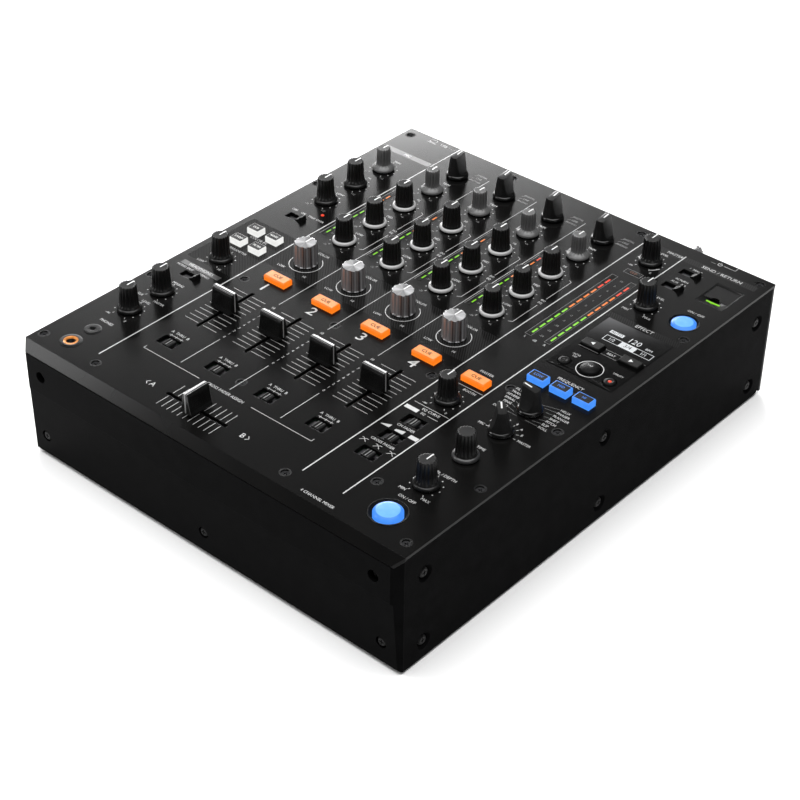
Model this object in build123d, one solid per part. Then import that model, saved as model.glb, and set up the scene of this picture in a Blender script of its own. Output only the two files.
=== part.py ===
from build123d import *
from dataclasses import dataclass
from math import atan2, cos, pi, sin, tan
import os

# A four-channel DJ mixer in millimetres, +X right, +Y to the rear, +Z up.
# Everything is drawn in the panel frame, whose origin is the middle of the top panel's upper face.
# save() then sets it in the part's frame: origin at the middle of the footprint, on the table.

os.makedirs("parts", exist_ok=True)

# ---- driving dimensions ----
WIDTH = 320.0
PANEL_DEPTH = 373.0
LIP_DEPTH = 6.0            # how far the front lip stands out ahead of the flat panel
LIP_DROP = 5.8             # height of the lip's slope
LIP_GAP = 0.42             # upright gap between the lip and the front panel
TERMINAL_REACH = 8.5       # how far the rear terminals stand out
PANEL_HEIGHT = 88.4        # top panel above the table
FOOT_HEIGHT = 2.0
FOOT_RADIUS = 10.0
SHEET = 2.0                # top panel and rear panel
TRAY_SHEET = 1.6
FLANGE_SHEET = 2.0         # the rear panel's top flange
FLANGE_HALF = 140.0        # half its length
SIDE_WALL = 4.0
OVERHANG = 0.3             # top panel over each side wall
FRONT_WALL = 2.5
BOARD_TOP = -14.0          # control board's upper face, below the panel
BOARD = 1.6
RUNNING_GAP = 0.6          # moving pieces keep this from still ones

TOTAL_DEPTH = LIP_DEPTH + PANEL_DEPTH + TERMINAL_REACH
PANEL_CENTRE_Y = LIP_DEPTH + PANEL_DEPTH / 2 - TOTAL_DEPTH / 2
HALF_WIDTH = WIDTH / 2
REAR = PANEL_DEPTH / 2
FRONT = -PANEL_DEPTH / 2
BOTTOM = FOOT_HEIGHT - PANEL_HEIGHT
WALL_OUTSIDE = HALF_WIDTH - OVERHANG
WALL_INSIDE = WALL_OUTSIDE - SIDE_WALL
FRONT_FACE = FRONT - LIP_DEPTH
CORNER = LIP_DEPTH - 0.2   # chamfer of the front vertical corners
TRAY_FRONT = FRONT + 3.9   # front face of the tray's front wall
TRAY_TOP = -2.6
LIP_SLOPE = atan2(LIP_DROP, LIP_DEPTH)
LIP_END = (FRONT_FACE + SHEET * sin(LIP_SLOPE), -LIP_DROP - SHEET * cos(LIP_SLOPE))

# ---- control grid, from the panel's middle ----
CHANNEL_PITCH = 43.2
FIRST_CHANNEL = -88.2
CHANNELS = [FIRST_CHANNEL + CHANNEL_PITCH * index for index in range(4)]
ROW_SELECTOR = 154.0
ROW_TRIM = 126.3
ROW_HIGH = 96.2
ROW_MID = 65.2
ROW_LOW = 34.1
ROW_COLOR = -4.0
ROW_CUE = -32.3
ROW_FADER = -79.6
ROW_ASSIGN = -129.5
CUE_SHIFT = 1.4            # cue buttons stand a little right of their channel
MIC_X = -134.4
MASTER_X = 82.0
EFFECT_X = 126.6
CROSSFADER = (-23.8, -167.7)
SHAFT_RADIUS = 3.0
SHAFT_HOLE = 4.2
FADER_SLOT = 51.6
METER_SHIFT = -17.0        # channel meter from its channel's middle
CHANNEL_METER = (31.0, 110.0)
MASTER_METER = (31.0, 123.0)


@dataclass
class Knob:
    """A knob's shape: radii and heights above the panel."""
    base_radius: float
    body_radius: float
    top_radius: float
    height: float


PLAIN = Knob(8.3, 6.4, 5.75, 19.2)
SLIM = Knob(8.0, 5.3, 4.95, 17.6)
METAL = Knob(8.3, 8.3, 7.2, 17.0)
WING = Knob(8.1, 6.9, 5.5, 18.8)
KNOB_LIFT = 0.7            # gap under every knob
BASE_HEIGHT = 2.6
SCALLOPS = 10
WING_RIDGE = 2.4           # half the width of a wing knob's ridge
WING_SLOPE = 1.8           # its ridge drops by this from the pointer to the back

# name: (style, x, y, angle from +Y to its pointer, anticlockwise)
KNOBS = {}
for number, channel_x in enumerate(CHANNELS, start=1):
    KNOBS[f"channel_{number}_source_selector"] = (WING, channel_x, ROW_SELECTOR, 0)
    KNOBS[f"channel_{number}_trim_knob"] = (SLIM, channel_x, ROW_TRIM, 0)
    KNOBS[f"channel_{number}_high_knob"] = (PLAIN, channel_x, ROW_HIGH, 0)
    KNOBS[f"channel_{number}_mid_knob"] = (PLAIN, channel_x, ROW_MID, 0)
    KNOBS[f"channel_{number}_low_knob"] = (PLAIN, channel_x, ROW_LOW, 0)
    KNOBS[f"channel_{number}_color_knob"] = (METAL, channel_x, ROW_COLOR, 0)
KNOBS["mic_trim_knob"] = (SLIM, MIC_X, ROW_TRIM, 0)
KNOBS["mic_high_knob"] = (PLAIN, MIC_X, ROW_HIGH, 0)
KNOBS["mic_low_knob"] = (PLAIN, MIC_X, ROW_MID, 0)
KNOBS["color_parameter_knob"] = (PLAIN, MIC_X, -38.0, 0)
KNOBS["headphones_mixing_knob"] = (PLAIN, MIC_X, -92.2, 0)
KNOBS["headphones_level_knob"] = (PLAIN, MIC_X, -121.0, 0)
KNOBS["master_level_knob"] = (PLAIN, MASTER_X, 153.3, 0)
KNOBS["booth_level_knob"] = (PLAIN, MASTER_X, -58.5, 0)
KNOBS["return_level_knob"] = (PLAIN, 111.2, 107.3, 0)
KNOBS["effect_selector"] = (WING, EFFECT_X, -34.0, 90)
KNOBS["effect_channel_selector"] = (WING, EFFECT_X, -62.3, 43)
KNOBS["effect_time_knob"] = (PLAIN, EFFECT_X, -94.8, 0)
KNOBS["effect_depth_knob"] = (PLAIN, EFFECT_X, -130.0, 0)

# name: (x, y, runs along X?)
FADERS = {}
for number, channel_x in enumerate(CHANNELS, start=1):
    FADERS[f"channel_{number}_fader"] = (channel_x, ROW_FADER, False)
FADERS["crossfader"] = (*CROSSFADER, True)
FADER_CAP_WIDTH = 18.1
FADER_CAP_BASE = 10.0
FADER_CAP_TOP = 4.6
FADER_CAP_HEIGHT = 16.0
FADER_CAP_LIFT = 1.2


@dataclass
class Button:
    """A push button: middle, size across and its height above the panel. Without a depth it is round."""
    x: float
    y: float
    width: float
    depth: float
    top: float


BUTTONS = {
    "cue_buttons": [Button(x + CUE_SHIFT, ROW_CUE, 18.7, 8.7, 3.5) for x in [*CHANNELS, MASTER_X - 0.4]],
    "color_effect_buttons": [Button(x, y, 10.5, 8.0, 4.0) for x in (-140.8, -123.5) for y in (2.0, -14.8)],
    "blue_buttons": [
        *[Button(x, -5.6, 13.0, 8.0, 4.0) for x in (110.7, 128.2, 145.7)],
        Button(140.8, 107.8, 16.4, 0.0, 0.8),
        Button(126.4, -163.0, 18.2, 0.0, 1.8),
    ],
    "beat_buttons": [
        *[Button(x, 47.0, 14.8, 7.8, 2.5) for x in (113.3, 142.8)],
        *[Button(x, 22.2, 8.0, 0.0, 1.4) for x in (109.6, 144.8)],
        Button(127.2, 25.2, 13.0, 0.0, 3.0),
    ],
}
BUTTON_DEPTH = 4.5         # body below the panel
STEM_END = -6.2
BUTTON_CHAMFER = 0.8
BUTTON_WELLS = {"blue_buttons": {3: 10.3, 4: 12.2}}    # round lit buttons stand in sunk rings

SLIDERS = [(x - 0.3, ROW_ASSIGN) for x in CHANNELS]
SLIDERS += [(MASTER_X - 0.5, y) for y in (-89.2, -109.3, -130.0)]
SLIDER_OPENING = (14.6, 9.8)
SLIDER_KEY = (6.0, 7.0)

# middle of each lever's opening; the lever rests at its right end
LEVERS = [(-134.0, 34.5), (-134.0, -67.0), (111.3, 158.2), (111.3, 137.8)]
LEVER_OPENING = (15.4, 6.6)
LEVER_REST = 4.0

# display panel: left, right, front and rear edges
DISPLAY = (101.5, 151.5, 14.5, 80.5)
DISPLAY_THICKNESS = 1.2
SCREEN_WINDOW = (110.0, 150.0, 55.5, 73.0)
USB_WELL = (130.6, 151.4, 135.0, 162.0)
USB_COVER = (131.9, 150.1, 143.8, 159.9)
USB_COVER_THICKNESS = 1.6
USB_HINGE_Z = -1.1
USB_KNUCKLE = 0.85
USB_PIN = 0.45
USB_SOCKET_Y = 150.6

SMALL_JACK = (-134.8, -152.3)
LARGE_JACK = (-135.2, -170.3)
SMALL_JACK_BORE = 1.8
LARGE_JACK_BORE = 3.25

# lamps: (x, y, radius)
LAMPS = [(-122.5, 49.0, 1.2)]
CLIP_LAMP = (82.0, 134.0, 12.0, 3.2)

# top panel screws by where they are held
WALL_SCREWS = [(-153.4, 178.0), (152.2, 179.5), (-155.5, 78.5), (151.8, 91.7), (-155.0, -83.0)]
WALL_SCREWS += [(151.7, -39.2), (151.8, -112.0), (-154.2, -176.0), (151.6, -176.2)]
REAR_SCREWS = [(-57.0, 179.0), (56.3, 179.0)]
FRONT_SCREWS = [(-105.5, -176.0), (58.2, -176.0)]
BOARD_SCREWS = [(-105.3, -45.2), (-23.5, -45.3), (58.2, -45.3), (103.3, -23.2)]
BOARD_SCREWS += [(-23.7, -129.8), (103.3, -146.5)]
TOP_SCREWS = WALL_SCREWS + REAR_SCREWS + FRONT_SCREWS + BOARD_SCREWS
SIDE_SCREWS = [(y, z) for y in (-169.0, 0.0, 169.0) for z in (-22.5, -74.0)]
FACE_SCREWS = [(-141.4, -19.8), (141.4, -19.8), (-145.4, -69.7), (0.0, -69.7), (145.4, -69.7)]
BACK_SCREWS = [(x, -79.0) for x in (-148.0, -50.0, 21.5, 108.0)]
SCREW_SHANK = 1.5
THREAD_HOLE = 1.55
CLEARANCE_HOLE = 1.8
SINK_RADIUS = 3.8
HEAD_RADIUS = 2.7
SIDE_SINK = 5.9
SIDE_HEAD = 3.3
FACE_SINK = 4.0
FACE_SEAT = 4.8            # depth of the front panel's screw seats
FACE_BOSS = 5.6            # radius of the bosses behind them
WALL_BOSS = 4.0            # radius of the side walls' bosses for the top panel's screws
WALL_BOSS_END = -12.0

# rear sockets: (x, z)
INLET = (130.0, -60.0)
POWER_BUTTON = (130.0, -20.0)
GROUND_POST = (93.0, -6.2)
NUT_RADIUS = 5.2           # the ground terminal's thumb nut
NUT_FLUTES = 12
PHONO_ROWS = (-20, -37)
PHONO_COLUMNS = [84.0 - 36.0 * group + side for group in range(4) for side in (-8, 8)]
PHONO_SOCKETS = [(x, z) for x in PHONO_COLUMNS for z in PHONO_ROWS]
OUTPUT_SOCKETS = [(x, z) for x in (-62.0, -80.0) for z in PHONO_ROWS]
DIGITAL_SOCKET = [(-98.0, -20.0)]
RCA_SOCKETS = PHONO_SOCKETS + OUTPUT_SOCKETS + DIGITAL_SOCKET
RETURN_JACKS = [(x, -64.0) for x in (84.0, 66.0, 48.0, 30.0)]
BOOTH_JACKS = [(x, -64.0) for x in (-22.0, -40.0)]
MIC_SOCKET = (4.0, -62.0)
XLR_SOCKETS = [(-72.0, -62.0), (-106.0, -62.0)]
USB_B_SOCKET = (-136.0, -62.0)
LINK_SOCKET = (-132.0, -24.0)


# ---- small shape helpers ----
def block(low, high):
    """A box between two corners."""
    middle = [(a + b) / 2 for a, b in zip(low, high)]
    size = [b - a for a, b in zip(low, high)]
    return Pos(*middle) * Box(*size)


def rod(radius, low, high, x=0.0, y=0.0):
    """An upright cylinder."""
    return Pos(x, y, (low + high) / 2) * Cylinder(radius, high - low)


def cone(bottom_radius, top_radius, low, high, x=0.0, y=0.0):
    return Pos(x, y, (low + high) / 2) * Cone(bottom_radius, top_radius, high - low)


def turned(profile):
    """A solid turned about Z from (radius, height) points."""
    outline = Polyline(*[(radius, 0, z) for radius, z in profile], close=True)
    return revolve(make_face(outline), Axis.Z)


def prism_x(points, half):
    """(y, z) outline run along X, half to each side."""
    outline = make_face(Polyline(*[(0, y, z) for y, z in points], close=True))
    return extrude(outline, amount=half, dir=(1, 0, 0), both=True)


def prism_y(points, half):
    """(x, z) outline run along Y, half to each side."""
    outline = make_face(Polyline(*[(x, 0, z) for x, z in points], close=True))
    return extrude(outline, amount=half, dir=(0, 1, 0), both=True)


def prism_z(points, low, high):
    """(x, y) outline run upwards."""
    outline = make_face(Polyline(*[(x, y, low) for x, y in points], close=True))
    return extrude(outline, amount=high - low, dir=(0, 0, 1))


def through_back(x, z):
    """Where a rear fitting goes: its own +Z points out of the rear panel's outer face."""
    return Pos(x, REAR, z) * Rot(-90, 0, 0)


def save(name, *solids):
    """Writes one node in the part's frame, as a group of separate solids."""
    placed = [Pos(0, PANEL_CENTRE_Y, PANEL_HEIGHT) * piece for shape in solids for piece in shape.solids()]
    export_step(Compound(children=placed), f"parts/{name}.step")


# ---- knobs ----
def knob_cap(style):
    """Skirt and tapering body over a blind shaft hole, with a pointer groove in its top."""
    bore_top = style.height - 5
    skirt_top = KNOB_LIFT + BASE_HEIGHT
    profile = [(SHAFT_RADIUS, KNOB_LIFT), (style.base_radius, KNOB_LIFT)]
    if style is METAL:
        profile += [(style.top_radius, style.height - 0.8)]
    else:
        profile += [(style.base_radius, skirt_top - 0.9), (style.base_radius - 0.9, skirt_top)]
        profile += [(style.body_radius, skirt_top), (style.top_radius, style.height - 0.5)]
    profile += [(style.top_radius - 0.5, style.height), (0, style.height)]
    profile += [(0, bore_top), (SHAFT_RADIUS, bore_top)]
    cap = turned(profile)
    groove_start = (1.2, style.top_radius * 0.35)[style is not METAL]
    groove = block((-0.5, groove_start, style.height - 0.4), (0.5, style.base_radius, style.height + 1))
    cuts = [groove]
    if style is METAL:
        for index in range(SCALLOPS):
            angle = 2 * pi * (index + 0.5) / SCALLOPS
            reach = style.base_radius + 1.2
            flute = cone(2.0, 1.7, 0, style.height + 0.5, reach * cos(angle), reach * sin(angle))
            cuts.append(flute)
    return cap - cuts


def wing_cap(style):
    """Round skirt under a cone whose sides are cut away to leave an upright wing that points along +Y."""
    skirt_top = KNOB_LIFT + BASE_HEIGHT
    cone_body = turned([
        (0, KNOB_LIFT),
        (style.base_radius, KNOB_LIFT),
        (style.base_radius, skirt_top - 0.9),
        (style.base_radius - 0.9, skirt_top),
        (style.body_radius, skirt_top),
        (style.top_radius, style.height),
        (0, style.height),
    ])
    wide = style.base_radius + 1
    low = KNOB_LIFT
    front = [(-wide, low), (wide, low), (wide, skirt_top + 0.4), (style.body_radius - 0.3, skirt_top + 0.9)]
    front += [(WING_RIDGE, style.height), (-WING_RIDGE, style.height)]
    front += [(0.3 - style.body_radius, skirt_top + 0.9), (-wide, skirt_top + 0.4)]
    side = [(-wide, low), (wide, low), (wide, style.height), (style.top_radius, style.height)]
    side += [(-style.top_radius, style.height - WING_SLOPE), (-wide, style.height - WING_SLOPE)]
    cap = cone_body & prism_y(front, wide) & prism_x(side, wide)
    groove = block((-0.5, -0.3, style.height - 1.2), (0.5, wide, style.height + 1))
    bore = rod(SHAFT_RADIUS, 0, style.height - 6)
    return cap - [groove, bore]


def make_knob(style, x, y, angle):
    cap = wing_cap(style) if style is WING else knob_cap(style)
    bore_top = style.height - (6 if style is WING else 5)
    shaft = rod(SHAFT_RADIUS, BOARD_TOP + 2, bore_top)
    return [Pos(x, y, 0) * Rot(0, 0, angle) * piece for piece in (cap, shaft)]


# ---- faders ----
def make_fader(x, y, along_x):
    """Tall cap with a narrow ridge, on a flat lever that goes down through the slot."""
    lift = FADER_CAP_LIFT
    base = FADER_CAP_BASE / 2
    ridge = FADER_CAP_TOP / 2
    outline = [(-base, lift), (base, lift), (base - 0.5, lift + 2), (ridge, FADER_CAP_HEIGHT - 0.7)]
    outline += [(ridge - 0.7, FADER_CAP_HEIGHT), (0.7 - ridge, FADER_CAP_HEIGHT)]
    outline += [(-ridge, FADER_CAP_HEIGHT - 0.7), (0.5 - base, lift + 2)]
    lever = block((-0.6, -2, -10), (0.6, 2, lift + 5))
    cap = prism_x(outline, FADER_CAP_WIDTH / 2) - block((-0.6, -2, 0), (0.6, 2, lift + 5))
    place = Pos(x, y, 0) * Rot(0, 0, 90 if along_x else 0)
    return [place * cap, place * lever]


# ---- buttons and switches ----
def make_button(button):
    """Key top with a bevelled edge, and a stem towards its switch."""
    if button.depth:
        key = block((-button.width / 2, -button.depth / 2, -BUTTON_DEPTH),
                    (button.width / 2, button.depth / 2, button.top))
    else:
        key = rod(button.width / 2, -BUTTON_DEPTH, button.top)
    edges = key.faces().sort_by(Axis.Z)[-1].edges()
    key = chamfer(edges, BUTTON_CHAMFER)
    stem = block((-1.5, -1.5, STEM_END), (1.5, 1.5, -BUTTON_DEPTH))
    return Pos(button.x, button.y, 0) * (key + stem)


def make_slider(x, y):
    """Slide switch key with finger grooves, on a neck."""
    width, depth = SLIDER_KEY
    key = block((-width / 2, -depth / 2, -2.6), (width / 2, depth / 2, 0))
    grooves = [block((at - 0.35, -depth, -0.8), (at + 0.35, depth, 1)) for at in (-1.5, 0, 1.5)]
    neck = block((-1, -0.8, -8), (1, 0.8, -2.6))
    return Pos(x, y, 0) * ((key - grooves) + neck)


def make_lever(x, y):
    """Switch lever that rises to its right-hand end, on a neck."""
    outline = [(-3, -2.6), (3, -2.6), (3, 3.6), (1.0, 3.6), (-0.6, 1.2), (-3, 0.2)]
    lever = prism_y(outline, 2.6)
    neck = block((-1, -0.8, -10), (1, 0.8, -2.6))
    return Pos(x + LEVER_REST, y, 0) * (lever + neck)


# ---- top panel ----
def window(left, right, front, rear, low=-3 * SHEET, high=SHEET):
    return block((left, front, low), (right, rear, high))


def panel_openings():
    """Everything that is cut through the top panel."""
    cuts = [rod(SHAFT_HOLE, -3 * SHEET, SHEET, x, y) for _, x, y, _ in KNOBS.values()]
    for x, y, along_x in FADERS.values():
        half = (FADER_SLOT / 2, 1.3) if along_x else (1.3, FADER_SLOT / 2)
        cuts.append(window(x - half[0], x + half[0], y - half[1], y + half[1]))
    for name, group in BUTTONS.items():
        wells = BUTTON_WELLS.get(name, {})
        for index, button in enumerate(group):
            half_width = button.width / 2 + RUNNING_GAP
            half_depth = button.depth / 2 + RUNNING_GAP
            if index in wells:
                cuts.append(rod(wells[index], -3 * SHEET, SHEET, button.x, button.y))
            elif button.depth:
                cuts.append(window(button.x - half_width, button.x + half_width,
                                   button.y - half_depth, button.y + half_depth))
            else:
                cuts.append(rod(half_width, -3 * SHEET, SHEET, button.x, button.y))
    for places, (width, depth) in ((SLIDERS, SLIDER_OPENING), (LEVERS, LEVER_OPENING)):
        cuts += [window(x - width / 2, x + width / 2, y - depth / 2, y + depth / 2) for x, y in places]
    cuts += [window(*box) for box in meter_windows()]
    cuts += [rod(radius, -3 * SHEET, SHEET, x, y) for x, y, radius in LAMPS]
    cuts.append(window(*USB_WELL))
    cuts.append(window(*SCREEN_WINDOW))
    cuts.append(window(*DISPLAY, low=-DISPLAY_THICKNESS))
    cuts.append(rod(SMALL_JACK_BORE + 2.2, -3 * SHEET, SHEET, *SMALL_JACK))
    cuts.append(rod(LARGE_JACK_BORE + 2.0, -3 * SHEET, SHEET, *LARGE_JACK))
    for x, y in TOP_SCREWS:
        cuts.append(cone(SINK_RADIUS - SHEET, SINK_RADIUS, -SHEET, 0, x, y))
        cuts.append(rod(CLEARANCE_HOLE, -3 * SHEET, 0, x, y))
    return cuts


def meter_windows():
    """Left, right, front and rear edges of every level meter and the clip lamp."""
    boxes = [(x + METER_SHIFT - 1.3, x + METER_SHIFT + 1.3, *CHANNEL_METER) for x in CHANNELS]
    boxes += [(x - 2.0, x + 2.0, *MASTER_METER) for x in (74.6, 89.8)]
    x, y, width, depth = CLIP_LAMP
    return [*boxes, (x - width / 2, x + width / 2, y - depth / 2, y + depth / 2)]


def front_outline():
    """Plan of the whole case with its chamfered front corners."""
    return [(-HALF_WIDTH, REAR), (-HALF_WIDTH, FRONT), (CORNER - HALF_WIDTH, FRONT_FACE),
            (HALF_WIDTH - CORNER, FRONT_FACE), (HALF_WIDTH, FRONT), (HALF_WIDTH, REAR)]


def make_top_panel():
    """Sheet with a folded front lip that slopes down to the front face."""
    fold = SHEET * tan(LIP_SLOPE / 2)
    sheet = prism_x([
        (REAR, 0),
        (FRONT, 0),
        (FRONT_FACE, -LIP_DROP),
        LIP_END,
        (FRONT + fold, -SHEET),
        (REAR, -SHEET),
    ], HALF_WIDTH)
    return (sheet & prism_z(front_outline(), -30, 1)) - panel_openings()


# ---- case ----
STEP_TOP = -33.8
STEP_BOTTOM = -35.0
STEP_DEPTH = 1.3
FOOT_SETBACK = 3.3         # the lower face leans back by this at its foot


def make_front_panel():
    """Moulded front: its top follows the lip, an upright band, a step and a lower face that leans back."""
    top = -LIP_DROP - LIP_GAP
    foot = FRONT_FACE + FOOT_SETBACK
    face = [(FRONT_FACE, top), (FRONT_FACE, STEP_TOP), (FRONT_FACE + STEP_DEPTH, STEP_BOTTOM)]
    face += [(foot, BOTTOM + 1.5), (foot + 1.5, BOTTOM)]
    under_lip = [(FRONT, -SHEET / cos(LIP_SLOPE) - LIP_GAP), (LIP_END[0], LIP_END[1] - LIP_GAP)]
    outer = prism_x([*face, (FRONT, BOTTOM), *under_lip], HALF_WIDTH - OVERHANG)
    shell = outer & prism_z(front_outline(), BOTTOM - 1, 1)
    inside = [(y + FRONT_WALL, z) for y, z in face[:3]]
    inside += [(FRONT - 0.4, BOTTOM + 4), (FRONT + 9, BOTTOM + 4), (FRONT + 9, 0), (inside[0][0], 0)]
    shell = shell - prism_x(inside, HALF_WIDTH - 2 * CORNER)
    boss_room = prism_x([*face, (TRAY_FRONT, BOTTOM), (TRAY_FRONT, top)], HALF_WIDTH - CORNER)
    bosses = [Pos(x, FRONT, z) * Rot(90, 0, 0) * Cylinder(FACE_BOSS, 30) for x, z in FACE_SCREWS]
    shell = shell + [boss & boss_room for boss in bosses]
    for x, z in FACE_SCREWS:
        sink = Pos(x, FRONT_FACE, z) * Rot(90, 0, 0) * Cylinder(FACE_SINK, 2 * FACE_SEAT)
        hole = Pos(x, FRONT_FACE, z) * Rot(90, 0, 0) * Cylinder(CLEARANCE_HOLE, 30)
        shell = shell - [sink, hole]
    return shell


def make_side_wall(side):
    """Moulded wall with sunk screw seats, bosses for the top panel's screws and a cut-off rear foot."""
    foot_cut = 4.0
    outline = [(FRONT, BOTTOM), (REAR - SHEET - foot_cut, BOTTOM), (REAR - SHEET, BOTTOM + foot_cut),
               (REAR - SHEET, -SHEET), (FRONT + 1.5, -SHEET), (FRONT, -SHEET - 1.5)]
    wall = Pos(side * (WALL_OUTSIDE - SIDE_WALL / 2), 0, 0) * prism_x(outline, SIDE_WALL / 2)
    bosses = []
    threads = []
    for x, y in WALL_SCREWS:
        if x * side > 0:
            inner = min(abs(x), WALL_INSIDE)
            boss = rod(WALL_BOSS, WALL_BOSS_END, -SHEET, x, y)
            bosses.append(boss & block((-WALL_OUTSIDE, FRONT, BOTTOM), (WALL_OUTSIDE, REAR, 0)))
            ends = sorted((side * inner, side * (WALL_INSIDE + 1)))
            bosses.append(block((ends[0], y - WALL_BOSS, WALL_BOSS_END), (ends[1], y + WALL_BOSS, -SHEET)))
            threads.append(rod(THREAD_HOLE, WALL_BOSS_END + 1, 0, x, y))
    wall = wall + bosses
    depth = SIDE_SINK - SIDE_HEAD - 0.4
    for y, z in SIDE_SCREWS:
        seat = Pos(side * (WALL_OUTSIDE - depth / 2), y, z) * Rot(0, side * 90, 0)
        wall = wall - seat * Cone(SIDE_HEAD + 0.4, SIDE_SINK, depth)
        wall = wall - Pos(side * WALL_OUTSIDE, y, z) * Rot(0, 90, 0) * Cylinder(CLEARANCE_HOLE, 20)
    return wall - threads


def make_tray():
    """Bottom sheet with a front wall, low side flanges and ears that the walls are screwed to."""
    edge = WALL_INSIDE
    rear_edge = REAR - SHEET
    bottom = block((-edge, FRONT + 0.2, BOTTOM), (edge, rear_edge, BOTTOM + TRAY_SHEET))
    pieces = [block((-edge, TRAY_FRONT, BOTTOM), (edge, TRAY_FRONT + TRAY_SHEET, TRAY_TOP))]
    cuts = []
    for side in (-1, 1):
        inner, outer = sorted((side * (edge - TRAY_SHEET), side * edge))
        pieces.append(block((inner, TRAY_FRONT, BOTTOM), (outer, rear_edge, BOTTOM + 18)))
        for y in sorted({y for y, _ in SIDE_SCREWS}):
            pieces.append(block((inner, y - 7, BOTTOM), (outer, y + 7, -15)))
    for x, y in FRONT_SCREWS:
        pieces.append(block((x - 6, TRAY_FRONT, TRAY_TOP - 3), (x + 6, y + 5, TRAY_TOP)))
        cuts.append(rod(THREAD_HOLE, -20, 0, x, y))
    for x, z in BACK_SCREWS:
        pieces.append(block((x - 7, rear_edge - TRAY_SHEET, BOTTOM), (x + 7, rear_edge, z + 5)))
        cuts.append(Pos(x, REAR, z) * Rot(90, 0, 0) * Cylinder(THREAD_HOLE, 20))
    for y, z in SIDE_SCREWS:
        cuts.append(Pos(0, y, z) * Rot(0, 90, 0) * Cylinder(THREAD_HOLE, WIDTH))
    for x, z in FACE_SCREWS:
        cuts.append(Pos(x, FRONT, z) * Rot(90, 0, 0) * Cylinder(THREAD_HOLE, 20))
    return (bottom + pieces) - cuts


def make_rear_panel():
    """Rear sheet with a top flange and an opening for every socket."""
    inner = REAR - SHEET
    sheet = block((-WALL_OUTSIDE, inner, BOTTOM), (WALL_OUTSIDE, REAR, -SHEET))
    flange = block((-FLANGE_HALF, inner - 11.5, -SHEET - FLANGE_SHEET), (FLANGE_HALF, inner, -SHEET))
    cuts = [rod(THREAD_HOLE, -20, 0, x, y) for x, y in REAR_SCREWS]
    holes = [(x, z, 4.6) for x, z in RCA_SOCKETS]
    holes += [(x, z, 5.0) for x, z in RETURN_JACKS + BOOTH_JACKS]
    holes += [(x, z, 10.6) for x, z in [*XLR_SOCKETS, MIC_SOCKET]]
    holes += [(*GROUND_POST, 2.0), (*POWER_BUTTON, 6.0 + RUNNING_GAP)]
    holes += [(x, z, CLEARANCE_HOLE) for x, z in BACK_SCREWS]
    cuts += [Pos(x, REAR, z) * Rot(90, 0, 0) * Cylinder(radius, 10) for x, z, radius in holes]
    for (x, z), width, height in ((INLET, 28.4, 20.4), (USB_B_SOCKET, 12.4, 11.4), (LINK_SOCKET, 16.4, 14.4)):
        cuts.append(Pos(x, REAR, z) * Box(width, 10, height))
    return (sheet + flange) - cuts


def make_feet():
    """Four turned rubber feet with a bevelled lower edge."""
    table = BOTTOM - FOOT_HEIGHT
    bevel = 0.8
    profile = [(0, table), (FOOT_RADIUS - bevel, table), (FOOT_RADIUS, table + bevel)]
    foot = turned([*profile, (FOOT_RADIUS, BOTTOM), (0, BOTTOM)])
    return [Pos(x, y, 0) * foot for x in (-128, 128) for y in (-156, 156)]


# ---- screws ----
def cross_slot(top, size):
    """The cross cut of a screw head, sunk into its top."""
    half = 0.35
    floor = top - 0.9
    low, high = floor, top + 1
    return [block((-size, -half, low), (size, half, high)), block((-half, -size, low), (half, size, high))]


def sunk_screw():
    """Countersunk screw that seats in the top panel; its head lies below the surface."""
    head_top = HEAD_RADIUS - SINK_RADIUS
    fit = 0.03
    body = turned([
        (0, -9.5),
        (SCREW_SHANK, -9.5),
        (SCREW_SHANK, -SHEET),
        (SINK_RADIUS - SHEET - fit, -SHEET),
        (HEAD_RADIUS - fit, head_top),
        (0, head_top),
    ])
    return body - cross_slot(head_top, 1.6)


def pan_screw(head_radius, head_height, length):
    """Pan-head screw pointing down, with the seat of its head at zero."""
    body = turned([(0, -length), (SCREW_SHANK, -length), (SCREW_SHANK, 0), (head_radius, 0),
                   (head_radius, head_height * 0.6), (head_radius - 0.8, head_height), (0, head_height)])
    return body - cross_slot(head_height, 1.8)


def make_screws():
    screws = [Pos(x, y, 0) * sunk_screw() for x, y in TOP_SCREWS]
    seat_depth = SIDE_SINK - SIDE_HEAD - 0.4
    for side in (-1, 1):
        for y, z in SIDE_SCREWS:
            seat = Pos(side * (WALL_OUTSIDE - seat_depth), y, z) * Rot(0, side * 90, 0)
            screws.append(seat * pan_screw(SIDE_HEAD, 1.6, 6))
    for x, z in FACE_SCREWS:
        screws.append(Pos(x, FRONT_FACE + FACE_SEAT, z) * Rot(90, 0, 0) * pan_screw(SIDE_HEAD, 1.8, 8))
    for x, z in BACK_SCREWS:
        screws.append(Pos(x, REAR, z) * Rot(-90, 0, 0) * pan_screw(SIDE_HEAD, 1.6, 6))
    return screws


# ---- electronics ----
MAIN_BOARD_Z = BOTTOM + TRAY_SHEET + 8
SUPPLY = (82.0, 148.0, 70.0, 160.0)     # power supply: left, right, front and rear edges


def potentiometer(x, y):
    """Body with a bush around the shaft, which turns clear of both."""
    body = block((-5.5, -5.5, BOARD_TOP), (5.5, 5.5, -7.6))
    bush = rod(4.1, -7.6, -2.5)
    return Pos(x, y, 0) * ((body + bush) - rod(SHAFT_RADIUS + RUNNING_GAP, BOARD_TOP + 1.2, 0))


def fader_body(x, y, along_x):
    """Long body with a slot for the lever."""
    body = block((-4.5, -31, BOARD_TOP), (4.5, 31, -4.5))
    slot = block((-1.4, -FADER_SLOT / 2, -11.2), (1.4, FADER_SLOT / 2, 0))
    return Pos(x, y, 0) * Rot(0, 0, 90 if along_x else 0) * (body - slot)


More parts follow.
